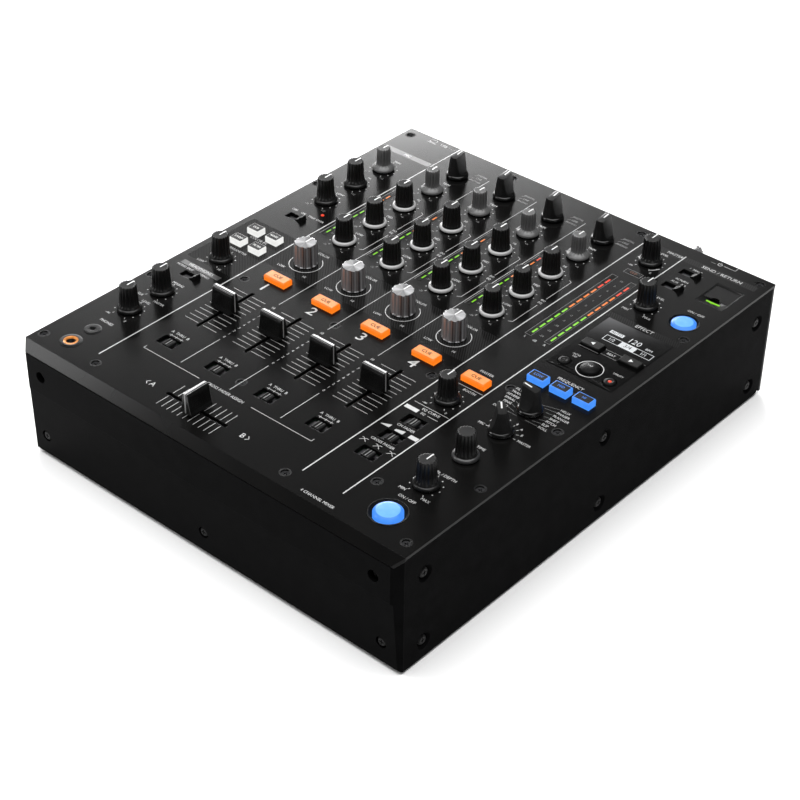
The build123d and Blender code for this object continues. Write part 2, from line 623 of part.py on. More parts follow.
def switch_body(x, y, width, depth, top, slot_length):
    body = block((-width / 2, -depth / 2, BOARD_TOP), (width / 2, depth / 2, top))
    slot = block((-slot_length / 2, -1.5, BOARD_TOP + 2.4), (slot_length / 2, 1.5, 0))
    return Pos(x, y, 0) * (body - slot)


def control_board():
    """The board under the top panel, with the body of every control, and its standoffs."""
    board = block((-148, -176, BOARD_TOP - BOARD), (148, 168, BOARD_TOP))
    room = [rod(6, -30, 0, *SMALL_JACK), rod(9, -30, 0, *LARGE_JACK)]
    room.append(window(USB_WELL[0] - 1, 149, USB_WELL[2] - 1, 169, low=-30))
    bodies = [potentiometer(x, y) for _, x, y, _ in KNOBS.values()]
    bodies += [fader_body(*fader) for fader in FADERS.values()]
    for group in BUTTONS.values():
        bodies += [block((b.x - 3, b.y - 3, BOARD_TOP), (b.x + 3, b.y + 3, -9)) for b in group]
    bodies += [switch_body(x, y, 14.2, 9.2, -3.2, 11) for x, y in SLIDERS]
    bodies += [switch_body(x, y, 18, 8.4, -3.4, 15) for x, y in LEVERS]
    for x, y in BOARD_SCREWS:
        bodies.append(rod(3.4, BOARD_TOP, -SHEET, x, y) - rod(THREAD_HOLE, -11, 0, x, y))
    left, right, front, rear = SCREEN_WINDOW
    screen = block((left, front, BOARD_TOP), (right, rear, -2.2))
    return [board - room, *bodies, screen]


def main_board():
    """The lower board on four standoffs, with its processors and capacitors."""
    z = MAIN_BOARD_Z
    board = block((-140, -40, z), (70, 158, z + BOARD))
    solids = [board]
    solids += [rod(3, BOTTOM + TRAY_SHEET, z, x, y) for x in (-134, 64) for y in (-34, 152)]
    top = z + BOARD
    chip = 22
    solids += [block((x, y, top), (x + chip, y + chip, top + 2.4)) for x in (-100, -40, 20) for y in (10, 60)]
    solids += [rod(4, top, top + 11, x, -24) for x in range(-120, 61, 18)]
    return solids


def power_supply():
    """Board with transformer, capacitors and a finned heat sink beside the mains inlet."""
    left, right, front, rear = SUPPLY
    z = MAIN_BOARD_Z
    solids = [block((left, front - 80, z), (right, rear - 20, z + BOARD))]
    top = z + BOARD
    posts = [(x, y) for x in (left + 5, right - 5) for y in (front - 74, rear - 26)]
    solids += [rod(3, BOTTOM + TRAY_SHEET, z, x, y) for x, y in posts]
    core = block((left + 8, front + 6, top), (left + 44, front + 40, top + 26))
    solids.append(core - block((left + 4, front + 14, top + 6), (left + 48, front + 32, top + 20)))
    solids.append(block((left + 10, front + 14, top + 6), (left + 42, front + 32, top + 20)))
    solids += [rod(8, top, top + 28, left + 14 + 19 * index, front - 10) for index in range(3)]
    sink_front = front - 60
    sink_rear = front - 36
    heat_sink = block((left + 6, sink_front, top), (right - 6, sink_rear, top + 4))
    for index in range(8):
        fin = left + 8 + 6 * index
        heat_sink = heat_sink + block((fin, sink_front, top + 3), (fin + 2, sink_rear, top + 24))
    solids.append(heat_sink)
    return solids


# ---- inserts in the top panel ----
def display_panel():
    left, right, front, rear = DISPLAY
    gap = 0.1
    sheet = block((left + gap, front + gap, -DISPLAY_THICKNESS), (right - gap, rear - gap, 0.3))
    holes = []
    for button in BUTTONS["beat_buttons"]:
        half_width = button.width / 2 + RUNNING_GAP
        half_depth = button.depth / 2 + RUNNING_GAP
        if button.depth:
            holes.append(window(button.x - half_width, button.x + half_width,
                                button.y - half_depth, button.y + half_depth))
        else:
            holes.append(rod(half_width, -5, 5, button.x, button.y))
    return sheet - holes


def usb_well():
    """Moulded well: a floor with the socket's mouth, side cheeks that hold the cover's pins, a lamp bar."""
    left, right, front, rear = USB_WELL
    gap = 0.1
    body = block((left + gap, front + gap, -12), (right - gap, rear - gap, -0.1))
    cover_left, cover_right, cover_front, cover_rear = USB_COVER
    cover_room = window(cover_left - 0.5, cover_right + 0.5, cover_front - 0.5, cover_rear + 0.5, low=-3.2)
    pins = Pos(141, cover_rear - USB_KNUCKLE, USB_HINGE_Z) * Rot(0, 90, 0)
    pin_holes = pins * Cylinder(USB_PIN + 0.35, cover_right - cover_left + 2.8)
    mouth = window(141 - 6.6, 141 + 6.6, USB_SOCKET_Y - 2.9, USB_SOCKET_Y + 2.9, low=-20)
    finger_dip = cone(3.5, 5, -3.2, 0, 141, cover_front - 0.5)
    lamp_room = window(136.5, 147, 138.9, 140.3, low=-1.5)
    return body - [cover_room, pin_holes, mouth, finger_dip, lamp_room]


def usb_shell():
    """Metal shell of the USB socket, open at the top."""
    outer = window(141 - 6.5, 141 + 6.5, USB_SOCKET_Y - 2.8, USB_SOCKET_Y + 2.8, low=-18, high=-3.6)
    inner = window(141 - 6.2, 141 + 6.2, USB_SOCKET_Y - 2.5, USB_SOCKET_Y + 2.5, low=-17, high=0)
    return outer - inner


def make_inserts():
    inserts = [display_panel(), usb_well()]
    for left, right, front, rear in meter_windows():
        inserts.append(window(left + 0.05, right - 0.05, front + 0.05, rear - 0.05, low=-3, high=0.15))
    inserts += [rod(radius - 0.05, -4, 0.4, x, y) for x, y, radius in LAMPS]
    inserts.append(window(136.55, 146.95, 138.95, 140.25, low=-1.5, high=0.05))
    for name, wells in BUTTON_WELLS.items():
        for index, radius in wells.items():
            button = BUTTONS[name][index]
            hole = button.width / 2 + RUNNING_GAP
            ring = turned([(hole, -6), (radius - 0.1, -6), (radius - 0.1, 0.2), (radius - 0.9, 0.2),
                           (hole + 1.2, -1.6), (hole, -1.6)])
            inserts.append(Pos(button.x, button.y, 0) * ring)
    return inserts


# ---- sockets ----
def phones_jack(x, y, bore, nut_radius, depth):
    """Jack with a collar above the panel and its body below."""
    body_top = -SHEET - 1
    neck = bore + 1.6
    body = bore + 2.8
    profile = [(bore, 0.6), (nut_radius, 0.6), (nut_radius, 0.05), (neck, 0.05), (neck, body_top)]
    profile += [(body, body_top), (body, -depth), (0, -depth), (0, -depth + 2), (bore, -depth + 2)]
    return Pos(x, y, 0) * turned(profile)


def rca_socket(x, z):
    """Sleeve with a blind centre hole, and its insulating washer."""
    reach = TERMINAL_REACH - 0.5
    outside = 4.15
    bore = 1.7
    sleeve = turned([(0, -8), (outside, -8), (outside, reach - 0.5), (outside - 0.45, reach), (bore, reach),
                     (bore, 0), (0, 0)])
    washer = turned([(outside, 0), (6, 0), (6, 0.9), (outside, 0.9)])
    return [through_back(x, z) * piece for piece in (sleeve, washer)]


def rear_jack(x, z):
    """6.3 mm jack with a nut outside the rear panel."""
    profile = [(LARGE_JACK_BORE, 2.6), (5.2, 2.6), (5.8, 2.0), (5.8, 0.05), (4.8, 0.05), (4.8, -3), (7, -3),
               (7, -26), (0, -26), (0, -22), (LARGE_JACK_BORE, -22)]
    return [through_back(x, z) * turned(profile)]


def flange_plate():
    plate = block((-13, -15.5, 0.05), (13, 15.5, 2))
    return fillet(plate.edges().filter_by(Axis.Z), 2.5)


def xlr_output(x, z):
    """Male three-pin socket: flange, deep round shell and pins."""
    body = flange_plate() + rod(10.3, -18, 1)
    body = body - rod(8.4, -15, 5)
    pins = []
    for angle in (30, 150, 270):
        across = 5.1 * cos(angle * pi / 180)
        up = 5.1 * sin(angle * pi / 180)
        pins.append(rod(1.2, -15, -0.5, across, up))
    return [through_back(x, z) * piece for piece in (body, *pins)]


def mic_input(x, z):
    """Combined socket: three small holes around a 6.3 mm bore."""
    body = flange_plate() + rod(10.3, -24, 1)
    holes = [rod(1.4, -14, 5, 6.6 * cos(a * pi / 180), 6.6 * sin(a * pi / 180)) for a in (30, 150, 270)]
    body = body - [rod(LARGE_JACK_BORE, -20, 5), *holes]
    return [through_back(x, z) * body]


def mains_inlet(x, z):
    """Three-blade inlet with a cavity that has two cut corners."""
    body = block((-14, -10, -20), (14, 10, 0.05)) + block((-16, -12, 0.05), (16, 12, 2))
    cavity = prism_z([(-12.5, -8), (12.5, -8), (12.5, 3.6), (8, 8), (-8, 8), (-12.5, 3.6)], -17, 5)
    blade = block((-1, -2, -17), (1, 2, -1))
    blades = [Pos(across, up, 0) * blade for across, up in ((-7, -2), (7, -2), (0, 4.4))]
    return [through_back(x, z) * piece for piece in (body - cavity, *blades)]


def port(x, z, width, height, depth):
    """Plain rectangular data port."""
    half_width, half_height = width / 2, height / 2
    wall = 1.7
    inside_width, inside_height = half_width - wall, half_height - wall
    body = block((-half_width, -half_height, -depth), (half_width, half_height, 0.6))
    cavity = block((-inside_width, -inside_height, 1.5 - depth), (inside_width, inside_height, 5))
    return [through_back(x, z) * (body - cavity)]


def ground_post(x, z):
    """Fluted thumb nut on its stud."""
    nut = rod(NUT_RADIUS, 0.6, TERMINAL_REACH - 1) - rod(1.95, 0, 20)
    for k in range(NUT_FLUTES):
        turn = 2 * pi * (k + 0.5) / NUT_FLUTES
        nut -= rod(0.7, 0, 20, (NUT_RADIUS + 0.3) * cos(turn), (NUT_RADIUS + 0.3) * sin(turn))
    washer = turned([(1.95, 0.05), (NUT_RADIUS + 0.3, 0.05), (NUT_RADIUS + 0.3, 0.6), (1.95, 0.6)])
    stud = rod(1.9, -8, TERMINAL_REACH)
    return [through_back(x, z) * piece for piece in (nut, washer, stud)]


def make_sockets():
    sockets = [phones_jack(*SMALL_JACK, SMALL_JACK_BORE, 4.8, 17)]
    sockets.append(phones_jack(*LARGE_JACK, LARGE_JACK_BORE, 6.0, 32))
    sockets.append(usb_shell())
    for x, z in RCA_SOCKETS:
        sockets += rca_socket(x, z)
    for x, z in RETURN_JACKS + BOOTH_JACKS:
        sockets += rear_jack(x, z)
    for x, z in XLR_SOCKETS:
        sockets += xlr_output(x, z)
    sockets += mic_input(*MIC_SOCKET)
    sockets += mains_inlet(*INLET)
    sockets += port(*USB_B_SOCKET, 12, 11, 16)
    sockets += port(*LINK_SOCKET, 16, 14, 20)
    sockets += ground_post(*GROUND_POST)
    return sockets


def make_usb_cover():
    """Flat lid with a finger notch, hinged on two pins at its rear edge."""
    left, right, front, rear = USB_COVER
    hinge_y = rear - USB_KNUCKLE
    lid = block((left, front, -0.3 - USB_COVER_THICKNESS), (right, hinge_y, -0.3))
    notch = cone(3.3, 5.2, -3, 0.5, (left + right) / 2, front - 1.6)
    hinge = Pos((left + right) / 2, hinge_y, USB_HINGE_Z) * Rot(0, 90, 0)
    knuckle = hinge * Cylinder(USB_KNUCKLE, right - left)
    pins = hinge * Cylinder(USB_PIN, right - left + 2.2)
    return (lid - notch) + [knuckle, pins]


def make_power_button():
    """Round push button in the rear panel."""
    x, z = POWER_BUTTON
    key = chamfer(rod(6, -7, 4.5).faces().sort_by(Axis.Z)[-1].edges(), 0.8)
    return through_back(x, z) * key


# ---- write every node ----
save("top_panel", make_top_panel())
save("front_panel", make_front_panel())
save("side_walls", *[make_side_wall(side) for side in (-1, 1)])
save("bottom_tray", make_tray())
save("rear_panel", make_rear_panel())
save("feet", *make_feet())
save("screws", *make_screws())
save("circuit_boards", *control_board(), *main_board(), *power_supply())
save("panel_inserts", *make_inserts())
save("sockets", *make_sockets())
for knob_name, knob_row in KNOBS.items():
    save(knob_name, *make_knob(*knob_row))
for fader_name, fader_row in FADERS.items():
    save(fader_name, *make_fader(*fader_row))
for group_name, group_buttons in BUTTONS.items():
    save(group_name, *[make_button(button) for button in group_buttons])
save("slide_switches", *[make_slider(x, y) for x, y in SLIDERS])
save("lever_switches", *[make_lever(x, y) for x, y in LEVERS])
save("usb_cover", make_usb_cover())
save("power_button", make_power_button())
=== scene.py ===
import bmesh
import bpy
from collections import defaultdict
from math import cos, pi, radians, sin, sqrt
from mathutils import Matrix, Vector


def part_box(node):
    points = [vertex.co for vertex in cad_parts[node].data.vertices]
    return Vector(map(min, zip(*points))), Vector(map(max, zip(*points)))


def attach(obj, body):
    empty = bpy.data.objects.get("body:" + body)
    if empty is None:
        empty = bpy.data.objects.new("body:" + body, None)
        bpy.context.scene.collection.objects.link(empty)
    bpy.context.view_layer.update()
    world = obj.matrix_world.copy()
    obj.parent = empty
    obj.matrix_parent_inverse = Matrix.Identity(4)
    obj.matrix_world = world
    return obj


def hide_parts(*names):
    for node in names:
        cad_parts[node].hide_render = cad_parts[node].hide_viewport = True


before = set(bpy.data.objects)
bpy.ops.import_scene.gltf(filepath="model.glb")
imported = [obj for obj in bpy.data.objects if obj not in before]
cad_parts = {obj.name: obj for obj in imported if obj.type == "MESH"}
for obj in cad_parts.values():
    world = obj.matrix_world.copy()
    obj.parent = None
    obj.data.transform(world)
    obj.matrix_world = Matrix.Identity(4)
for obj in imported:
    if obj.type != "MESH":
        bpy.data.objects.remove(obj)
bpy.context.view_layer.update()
scene = bpy.context.scene

# ---- the panel frame: millimetres from the middle of the top panel's upper face ----
MM = 0.001
PANEL_DEPTH = 373.0
PANEL_LOW, PANEL_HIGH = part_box("top_panel")
ORIGIN = Vector(((PANEL_LOW.x + PANEL_HIGH.x) / 2, PANEL_HIGH.y - PANEL_DEPTH / 2 * MM, PANEL_HIGH.z))
LOCAL = Matrix.Scale(MM, 4)
TO_ROW = Matrix.Translation(ORIGIN) @ LOCAL


def at(x, y, z=0.0):
    """A point of the panel frame, in the row frame."""
    return ORIGIN + Vector((x, y, z)) * MM


def box(node):
    """Low and high corner of a CAD node, in the panel frame."""
    return [(corner - ORIGIN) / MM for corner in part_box(node)]


def spot(node):
    """Middle of a CAD node, in the panel frame's x and y."""
    low, high = box(node)
    return (low.x + high.x) / 2, (low.y + high.y) / 2


def parts_of(node):
    """The separate solids of a CAD node: low corner, high corner and polygon indices, in the panel frame."""
    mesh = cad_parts[node].data
    keys = [tuple(round(c * 1e6) for c in v.co) for v in mesh.vertices]
    leader = {key: key for key in keys}

    def first(key):
        while leader[key] != key:
            leader[key] = leader[leader[key]]
            key = leader[key]
        return key

    for polygon in mesh.polygons:
        start = first(keys[polygon.vertices[0]])
        for vertex in polygon.vertices[1:]:
            leader[first(keys[vertex])] = start
    groups = defaultdict(list)
    for polygon in mesh.polygons:
        groups[first(keys[polygon.vertices[0]])].append(polygon.index)
    found = []
    for members in groups.values():
        points = [mesh.vertices[v].co for i in members for v in mesh.polygons[i].vertices]
        low, high = (Vector([pick(p[axis] for p in points) for axis in range(3)]) for pick in (min, max))
        found.append(((low - ORIGIN) / MM, (high - ORIGIN) / MM, members))
    return found


CHANNEL_NUMBERS = (1, 2, 3, 4)
CHANNELS = [spot(f"channel_{number}_low_knob")[0] for number in CHANNEL_NUMBERS]
MIC_X = spot("mic_high_knob")[0]
MASTER_X = spot("master_level_knob")[0]
EFFECT_X = spot("effect_selector")[0]
ROW = {name: spot(f"channel_1_{name}_knob")[1] for name in ("trim", "high", "mid", "low", "color")}
ROW["selector"] = spot("channel_1_source_selector")[1]
ROW["fader"] = spot("channel_1_fader")[1]
CROSS_X, CROSS_Y = spot("crossfader")

# ---- materials ----
INPUTS = {"color": "Base Color", "rough": "Roughness", "gloss": "Specular IOR Level", "metal": "Metallic",
          "glow": "Emission Color", "power": "Emission Strength"}


class Nodes:
    """A new material's node tree with short helpers, all patterns in the object's own coordinates."""

    def __init__(self, name):
        self.material = bpy.data.materials.new(name)
        self.material.use_nodes = True
        self.tree = self.material.node_tree
        self.tree.nodes.clear()
        output = self.add("ShaderNodeOutputMaterial")
        self.shader = self.add("ShaderNodeBsdfPrincipled")
        self.link(self.shader.outputs["BSDF"], output.inputs["Surface"])
        self.coordinates = self.add("ShaderNodeTexCoord").outputs["Object"]

    def add(self, kind, **settings):
        node = self.tree.nodes.new(kind)
        for name, value in settings.items():
            setattr(node, name, value)
        return node

    def link(self, source, target):
        self.tree.links.new(source, target)

    def feed(self, target, value):
        """Gives an input a number, a colour or the output of another node."""
        if isinstance(value, (int, float)):
            target.default_value = value
        elif isinstance(value, tuple):
            target.default_value = (*value, 1.0)[:4]
        else:
            self.link(value, target)

    def put(self, **values):
        """Feeds the shader's inputs by their short names."""
        for name, value in values.items():
            self.feed(self.shader.inputs[INPUTS[name]], value)

    def math(self, operation, a, b=0.0, clamp=False):
        node = self.add("ShaderNodeMath", operation=operation, use_clamp=clamp)
        self.feed(node.inputs[0], a)
        self.feed(node.inputs[1], b)
        return node.outputs[0]

    def plus(self, a, b):
        return self.math("ADD", a, b)

    def minus(self, a, b):
        return self.math("SUBTRACT", a, b)

    def times(self, a, b):
        return self.math("MULTIPLY", a, b)

    def noise(self, scale, detail=3.0, stretch=(1, 1, 1)):
        mapping = self.add("ShaderNodeMapping")
        mapping.inputs["Scale"].default_value = stretch
        self.link(self.coordinates, mapping.inputs["Vector"])
        node = self.add("ShaderNodeTexNoise")
        self.link(mapping.outputs["Vector"], node.inputs["Vector"])
        node.inputs["Scale"].default_value = scale
        node.inputs["Detail"].default_value = detail
        return node.outputs["Fac"]

    def spread(self, value, low=0.0, high=1.0):
        """The usual run of a noise, from 0.3 to 0.7, brought to a range of its own."""
        node = self.add("ShaderNodeMapRange")
        steps = {"Value": value, "From Min": 0.3, "From Max": 0.7, "To Min": low, "To Max": high}
        for name, number in steps.items():
            self.feed(node.inputs[name], number)
        return node.outputs["Result"]

    def mix(self, factor, a, b):
        node = self.add("ShaderNodeMix", data_type="RGBA")
        for name, value in (("Factor", factor), ("A", a), ("B", b)):
            self.feed(node.inputs[name], value)
        return node.outputs["Result"]

    def axes(self):
        node = self.add("ShaderNodeSeparateXYZ")
        self.link(self.coordinates, node.inputs["Vector"])
        return node.outputs

    def bump(self, height, strength, edge=0.0):
        """Fine relief, and edges that look rounded by edge."""
        node = self.add("ShaderNodeBump")
        node.inputs["Strength"].default_value = strength
        node.inputs["Distance"].default_value = 0.2 * MM
        self.feed(node.inputs["Height"], height)
        if edge:
            bevel = self.add("ShaderNodeBevel", samples=4)
            bevel.inputs["Radius"].default_value = edge
            self.link(bevel.outputs["Normal"], node.inputs["Normal"])
        self.link(node.outputs["Normal"], self.shader.inputs["Normal"])

    def inside(self, left, right, front, rear):
        """1 inside a rectangle of the panel frame, 0 outside. For nodes that lie in the row frame."""
        x, y, _ = self.axes()
        low, high = at(left, front), at(right, rear)
        across = self.times(self.math("GREATER_THAN", x, low.x), self.math("LESS_THAN", x, high.x))
        along = self.times(self.math("GREATER_THAN", y, low.y), self.math("LESS_THAN", y, high.y))
        return self.times(across, along)


def plastic(name, color, roughness, gloss, grain, relief, vary, edge=0.0):
    """Moulded or painted surface: mottled colour, uneven roughness, fine grain. A single number is a grey."""
    nodes = Nodes(name)
    color = color if isinstance(color, tuple) else (color,) * 3
    dark, light = (tuple(c * (1 + swing) for c in color) for swing in (-vary, vary))
    cloud = nodes.spread(nodes.noise(grain / 25))
    fine = nodes.noise(grain, 2.0)
    rough = nodes.spread(fine, roughness * 0.88, roughness * 1.12)
    nodes.put(color=nodes.mix(cloud, dark, light), rough=rough, gloss=gloss)
    nodes.bump(fine, relief, edge)
    return nodes.material


def lit(name, color, core=None, power=1.0):
    """Glowing plastic: its light is a little uneven, as behind a moulded lens."""
    nodes = Nodes(name)
    cloud = nodes.spread(nodes.noise(260.0, 2.0))
    other = core or tuple(min(1.0, c * 1.12) for c in color)
    nodes.put(color=tuple(0.04 * c for c in color), glow=nodes.mix(cloud, color, other), power=power,
              rough=0.35, gloss=0.15)
    nodes.bump(nodes.noise(900.0), 0.1)
    return nodes.material


def metal(name, color, roughness, grain, relief=0.05):
    """Plated metal with fine lines along one direction."""
    nodes = Nodes(name)
    lines = nodes.noise(900.0, 4.0, grain)
    dark = tuple(c * 0.82 for c in color)
    nodes.put(color=nodes.mix(nodes.spread(lines), dark, color), metal=1.0,
              rough=nodes.spread(lines, roughness * 0.8, roughness * 1.25))
    nodes.bump(lines, relief)
    return nodes.material


# bands of the panel that are printed glossier, with a fine diagonal hatch: left, right, front, rear
HATCHED = [
    (-110.5, 63.6, -21.5, 14.5),
    (-155.0, -112.3, -50.0, 14.0),
    (98.0, 154.0, 81.0, 87.0),
    (75.0, 154.0, 169.0, 175.0),
]
HATCH_PITCH = 1.5 * MM


def panel_material():
    """Satin black powder coat with the hatched bands in it."""
    nodes = Nodes("panel_coat")
    x, y, _ = nodes.axes()
    wave = nodes.math("SINE", nodes.times(nodes.plus(x, y), 2 * pi / HATCH_PITCH))
    band = 0.0
    for edges in HATCHED:
        band = nodes.plus(band, nodes.inside(*edges))
    stripe = nodes.times(band, nodes.math("GREATER_THAN", wave, 0.1))
    fine = nodes.noise(1500.0, 2.0)
    coat = nodes.mix(nodes.spread(nodes.noise(24.0)), (0.0026, 0.0026, 0.0026), (0.0038, 0.0037, 0.0036))
    rough = nodes.minus(nodes.spread(fine, 0.165, 0.185), nodes.times(band, 0.07))
    nodes.put(color=nodes.mix(stripe, coat, (0.014, 0.014, 0.014)), rough=rough, gloss=0.09)
    nodes.bump(fine, 0.006, 0.35 * MM)
    return nodes.material


def display_material():
    """Glossy black sheet with a painted reflection: a pale glare in its colour that fades from its rear left
    corner.
    """
    nodes = Nodes("display_gloss")
    x, y, _ = nodes.axes()
    # painted reflection: the colour grows lighter towards the sheet's rear left corner
    corner = at(98.0, 81.0)
    fall = nodes.plus(nodes.minus(x, corner.x), nodes.times(nodes.minus(corner.y, y), 1.7))
    painted_glare = nodes.math("SUBTRACT", 1.0, nodes.math("DIVIDE", fall, 62 * MM), True)
    sheet_and_glare = nodes.mix(nodes.times(painted_glare, painted_glare), (0.0025, 0.0025, 0.0025), (0.085, 0.085, 0.088))
    fine = nodes.noise(420.0, 2.0)
    nodes.put(color=sheet_and_glare, rough=nodes.spread(fine, 0.09, 0.13), gloss=0.15)
    nodes.bump(fine, 0.02)
    return nodes.material


def glint_banded_metal(name, low, high, waves, roughness, shine):
    """Aluminium with painted highlight and shade: light and dark bands in its colour swing round the knob's
    axis, standing in for its reflections.
    """
    nodes = Nodes(name)
    x, y, _ = nodes.axes()
    angle = nodes.math("ARCTAN2", y, x)
    # painted highlight and shade in the colour, by angle round the knob's axis
    painted_glint = 0.0
    for count, phase, share in waves:
        wave = nodes.math("SINE", nodes.plus(nodes.times(angle, count), phase))
        painted_glint = nodes.plus(painted_glint, nodes.times(nodes.plus(wave, 1.0), share / 2))
    fine = nodes.noise(4200.0, 2.0)
    painted_glint = nodes.math("ADD", painted_glint, nodes.times(nodes.minus(fine, 0.5), 0.25), True)
    rough = nodes.spread(fine, roughness, roughness + 0.08)
    nodes.put(color=nodes.mix(painted_glint, low, high), metal=shine, gloss=0.2, rough=rough)
    return nodes.material


LARGE_JACK, SMALL_JACK = (-135.2, -170.3), (-134.8, -152.3)


def jack_material():
    """A bright ring around a jack's mouth and black past the ring, with painted shade: near black in the bore
    below the panel's face.
    """
    nodes = Nodes("jack_gold")
    x, y, z = nodes.axes()
    middle = at(*LARGE_JACK)
    across, along = nodes.minus(x, middle.x), nodes.minus(y, middle.y)
    away = nodes.math("SQRT", nodes.plus(nodes.times(across, across), nodes.times(along, along)))
    # painted shade: the bore below the panel's face gets the near-black colour
    ring = nodes.times(nodes.math("GREATER_THAN", z, ORIGIN.z - 0.4 * MM),
                       nodes.math("LESS_THAN", away, 4.8 * MM))
    rough = nodes.spread(nodes.noise(900.0, 2.0), 0.25, 0.35)
    nodes.put(color=nodes.mix(ring, (0.002, 0.002, 0.002), (0.42, 0.15, 0.028)), metal=nodes.times(ring, 0.3),
              rough=rough, gloss=0.1)
    return nodes.material


def screw_material():
    """Black zinc, with painted light: heads at the height of the top panel are coloured grey for the light
    that falls on them there.
    """
    nodes = Nodes("screw_zinc")
    _, _, z = nodes.axes()
    # painted light: grey for the heads above 85 mm
    high = nodes.math("GREATER_THAN", z, 85 * MM)
    fine = nodes.noise(1500.0, 2.0)
    nodes.put(color=nodes.mix(high, (0.006, 0.006, 0.006), (0.022, 0.022, 0.023)), gloss=0.08,
              rough=nodes.spread(fine, 0.3, 0.42))
    nodes.bump(fine, 0.03)
    return nodes.material


# painted highlight and shade bands round a metal knob: how many, phase, share
TOP_GLINT_WAVES = [(2, 0.8, 0.62), (5, 1.8, 0.28), (13, 0.6, 0.10)]
SIDE_GLINT_WAVES = [(10, 1.9, 0.50), (3, 0.5, 0.20), (27, 1, 0.30)]
PANEL = panel_material()
DISPLAY = display_material()
JACK_GOLD = jack_material()
SCREW = screw_material()
# both metal knob materials carry painted highlight and shade bands in their colour
TURNED = glint_banded_metal("turned_aluminium", (0.040, 0.040, 0.041), (0.30, 0.30, 0.305), TOP_GLINT_WAVES, 0.6, 0.0)
FLUTED = glint_banded_metal("fluted_aluminium", (0.018, 0.018, 0.019), (0.46, 0.46, 0.47), SIDE_GLINT_WAVES, 0.32, 0.5)
# name, colour, roughness, gloss, grain, relief, mottling, edge
CASE = plastic("case_black", (0.0020, 0.0020, 0.0021), 0.5, 0.008, 2600.0, 0.6, 0.45, 0.4 * MM)
FACE = plastic("front_black", (0.0018, 0.0018, 0.0019), 0.4, 0.010, 2200.0, 0.15, 0.25, 0.5 * MM)
REAR = plastic("rear_coat", (0.0065, 0.0065, 0.0066), 0.45, 0.12, 1800.0, 0.2, 0.25, 0.3 * MM)
RUBBER = plastic("foot_rubber_black", 0.008, 0.8, 0.15, 700.0, 0.5, 0.3, 0.3 * MM)
KNOB = plastic("knob_soft_black", 0.0060, 0.30, 0.26, 2600.0, 0.06, 0.25)
KNOB_TOP = plastic("knob_top_charcoal", 0.013, 0.6, 0.03, 2600.0, 0.15, 0.2)
COLLAR_GREY = plastic("collar_grey", (0.030, 0.030, 0.031), 0.3, 0.4, 1800.0, 0.02, 0.1)
KNOB_DARK = plastic("knob_collar_gloss", 0.0030, 0.2, 0.3, 2000.0, 0.03, 0.2)
GREY = plastic("knob_mid_grey", 0.085, 0.34, 0.5, 2600.0, 0.08, 0.12)
GREY_TOP = plastic("knob_top_grey", 0.070, 0.6, 0.04, 2600.0, 0.15, 0.12)
RING = plastic("light_grey_ring", 0.36, 0.35, 0.5, 1800.0, 0.06, 0.06)
POINTER = plastic("pointer_white", 0.52, 0.4, 0.4, 1500.0, 0.05, 0.05)
INK = plastic("printing_white", 0.34, 0.5, 0.2, 3000.0, 0.1, 0.1)
INK_DIM = plastic("printing_grey", 0.16, 0.5, 0.2, 3000.0, 0.1, 0.1)
BAND = plastic("printed_band", 0.030, 0.3, 0.12, 3000.0, 0.1, 0.1)
SLOT_EDGE = plastic("slot_dark", 0.0012, 0.5, 0.05, 1500.0, 0.1, 0.2)
CAP = plastic("fader_cap_black", 0.0040, 0.2, 0.32, 2200.0, 0.03, 0.25)
CAP_LINE = plastic("fader_cap_line", 0.26, 0.3, 0.4, 2200.0, 0.01, 0.08)
FLAP = plastic("cover_black", 0.0045, 0.45, 0.05, 1800.0, 0.05, 0.2)
SLIDE = plastic("slide_key_black", 0.010, 0.5, 0.1, 1800.0, 0.08, 0.2)
KEY = plastic("switch_key_black", 0.0062, 0.42, 0.07, 1800.0, 0.08, 0.2)
BOARD = plastic("board_green", (0.012, 0.055, 0.022), 0.35, 0.5, 500.0, 0.2, 0.25)
PARTS = plastic("component_black", (0.02, 0.02, 0.022), 0.5, 0.4, 900.0, 0.1, 0.2)
SOCKET_BLACK = plastic("socket_black", 0.007, 0.35, 0.3, 1500.0, 0.1, 0.2, 0.2 * MM)
SOCKET_WHITE = plastic("socket_white", (0.55, 0.55, 0.53), 0.35, 0.5, 1500.0, 0.08, 0.08)
SOCKET_RED = plastic("socket_red", (0.42, 0.018, 0.016), 0.35, 0.5, 1500.0, 0.08, 0.1)
STEEL = metal("plated_steel", (0.62, 0.62, 0.63), 0.28, (1, 1, 12))
CHROME = metal("polished_rim", (0.24, 0.24, 0.245), 0.25, (1, 1, 8), 0.02)
FIN = metal("heat_sink_metal", (0.42, 0.43, 0.45), 0.4, (1, 14, 1))
ORANGE = lit("lamp_orange", (1.0, 0.19, 0.008), (1.0, 0.23, 0.018))
ORANGE_TOP = lit("lamp_orange_face", (1.0, 0.285, 0.042), (1.0, 0.34, 0.065))
WHITE_GLOW = lit("lamp_white", (0.80, 0.80, 0.78), (0.90, 0.90, 0.88))
BLUE = lit("lamp_blue", (0.055, 0.27, 0.95), (0.075, 0.31, 0.98))
BLUE_CORE = lit("lamp_blue_core", (0.15, 0.48, 1.0), (0.19, 0.54, 1.0))
RED = lit("lamp_red", (0.83, 0.050, 0.012))
AMBER = lit("lamp_amber", (0.84, 0.21, 0.022))
AMBER_DIM = lit("lamp_amber_dim", (0.16, 0.05, 0.015))
GREEN = lit("lamp_green", (0.22, 0.66, 0.010))
SCREEN = lit("screen_glow", (0.66, 0.68, 0.70))
LEGEND_BLUE = lit("legend_blue", (0.055, 0.25, 0.90), power=0.9)


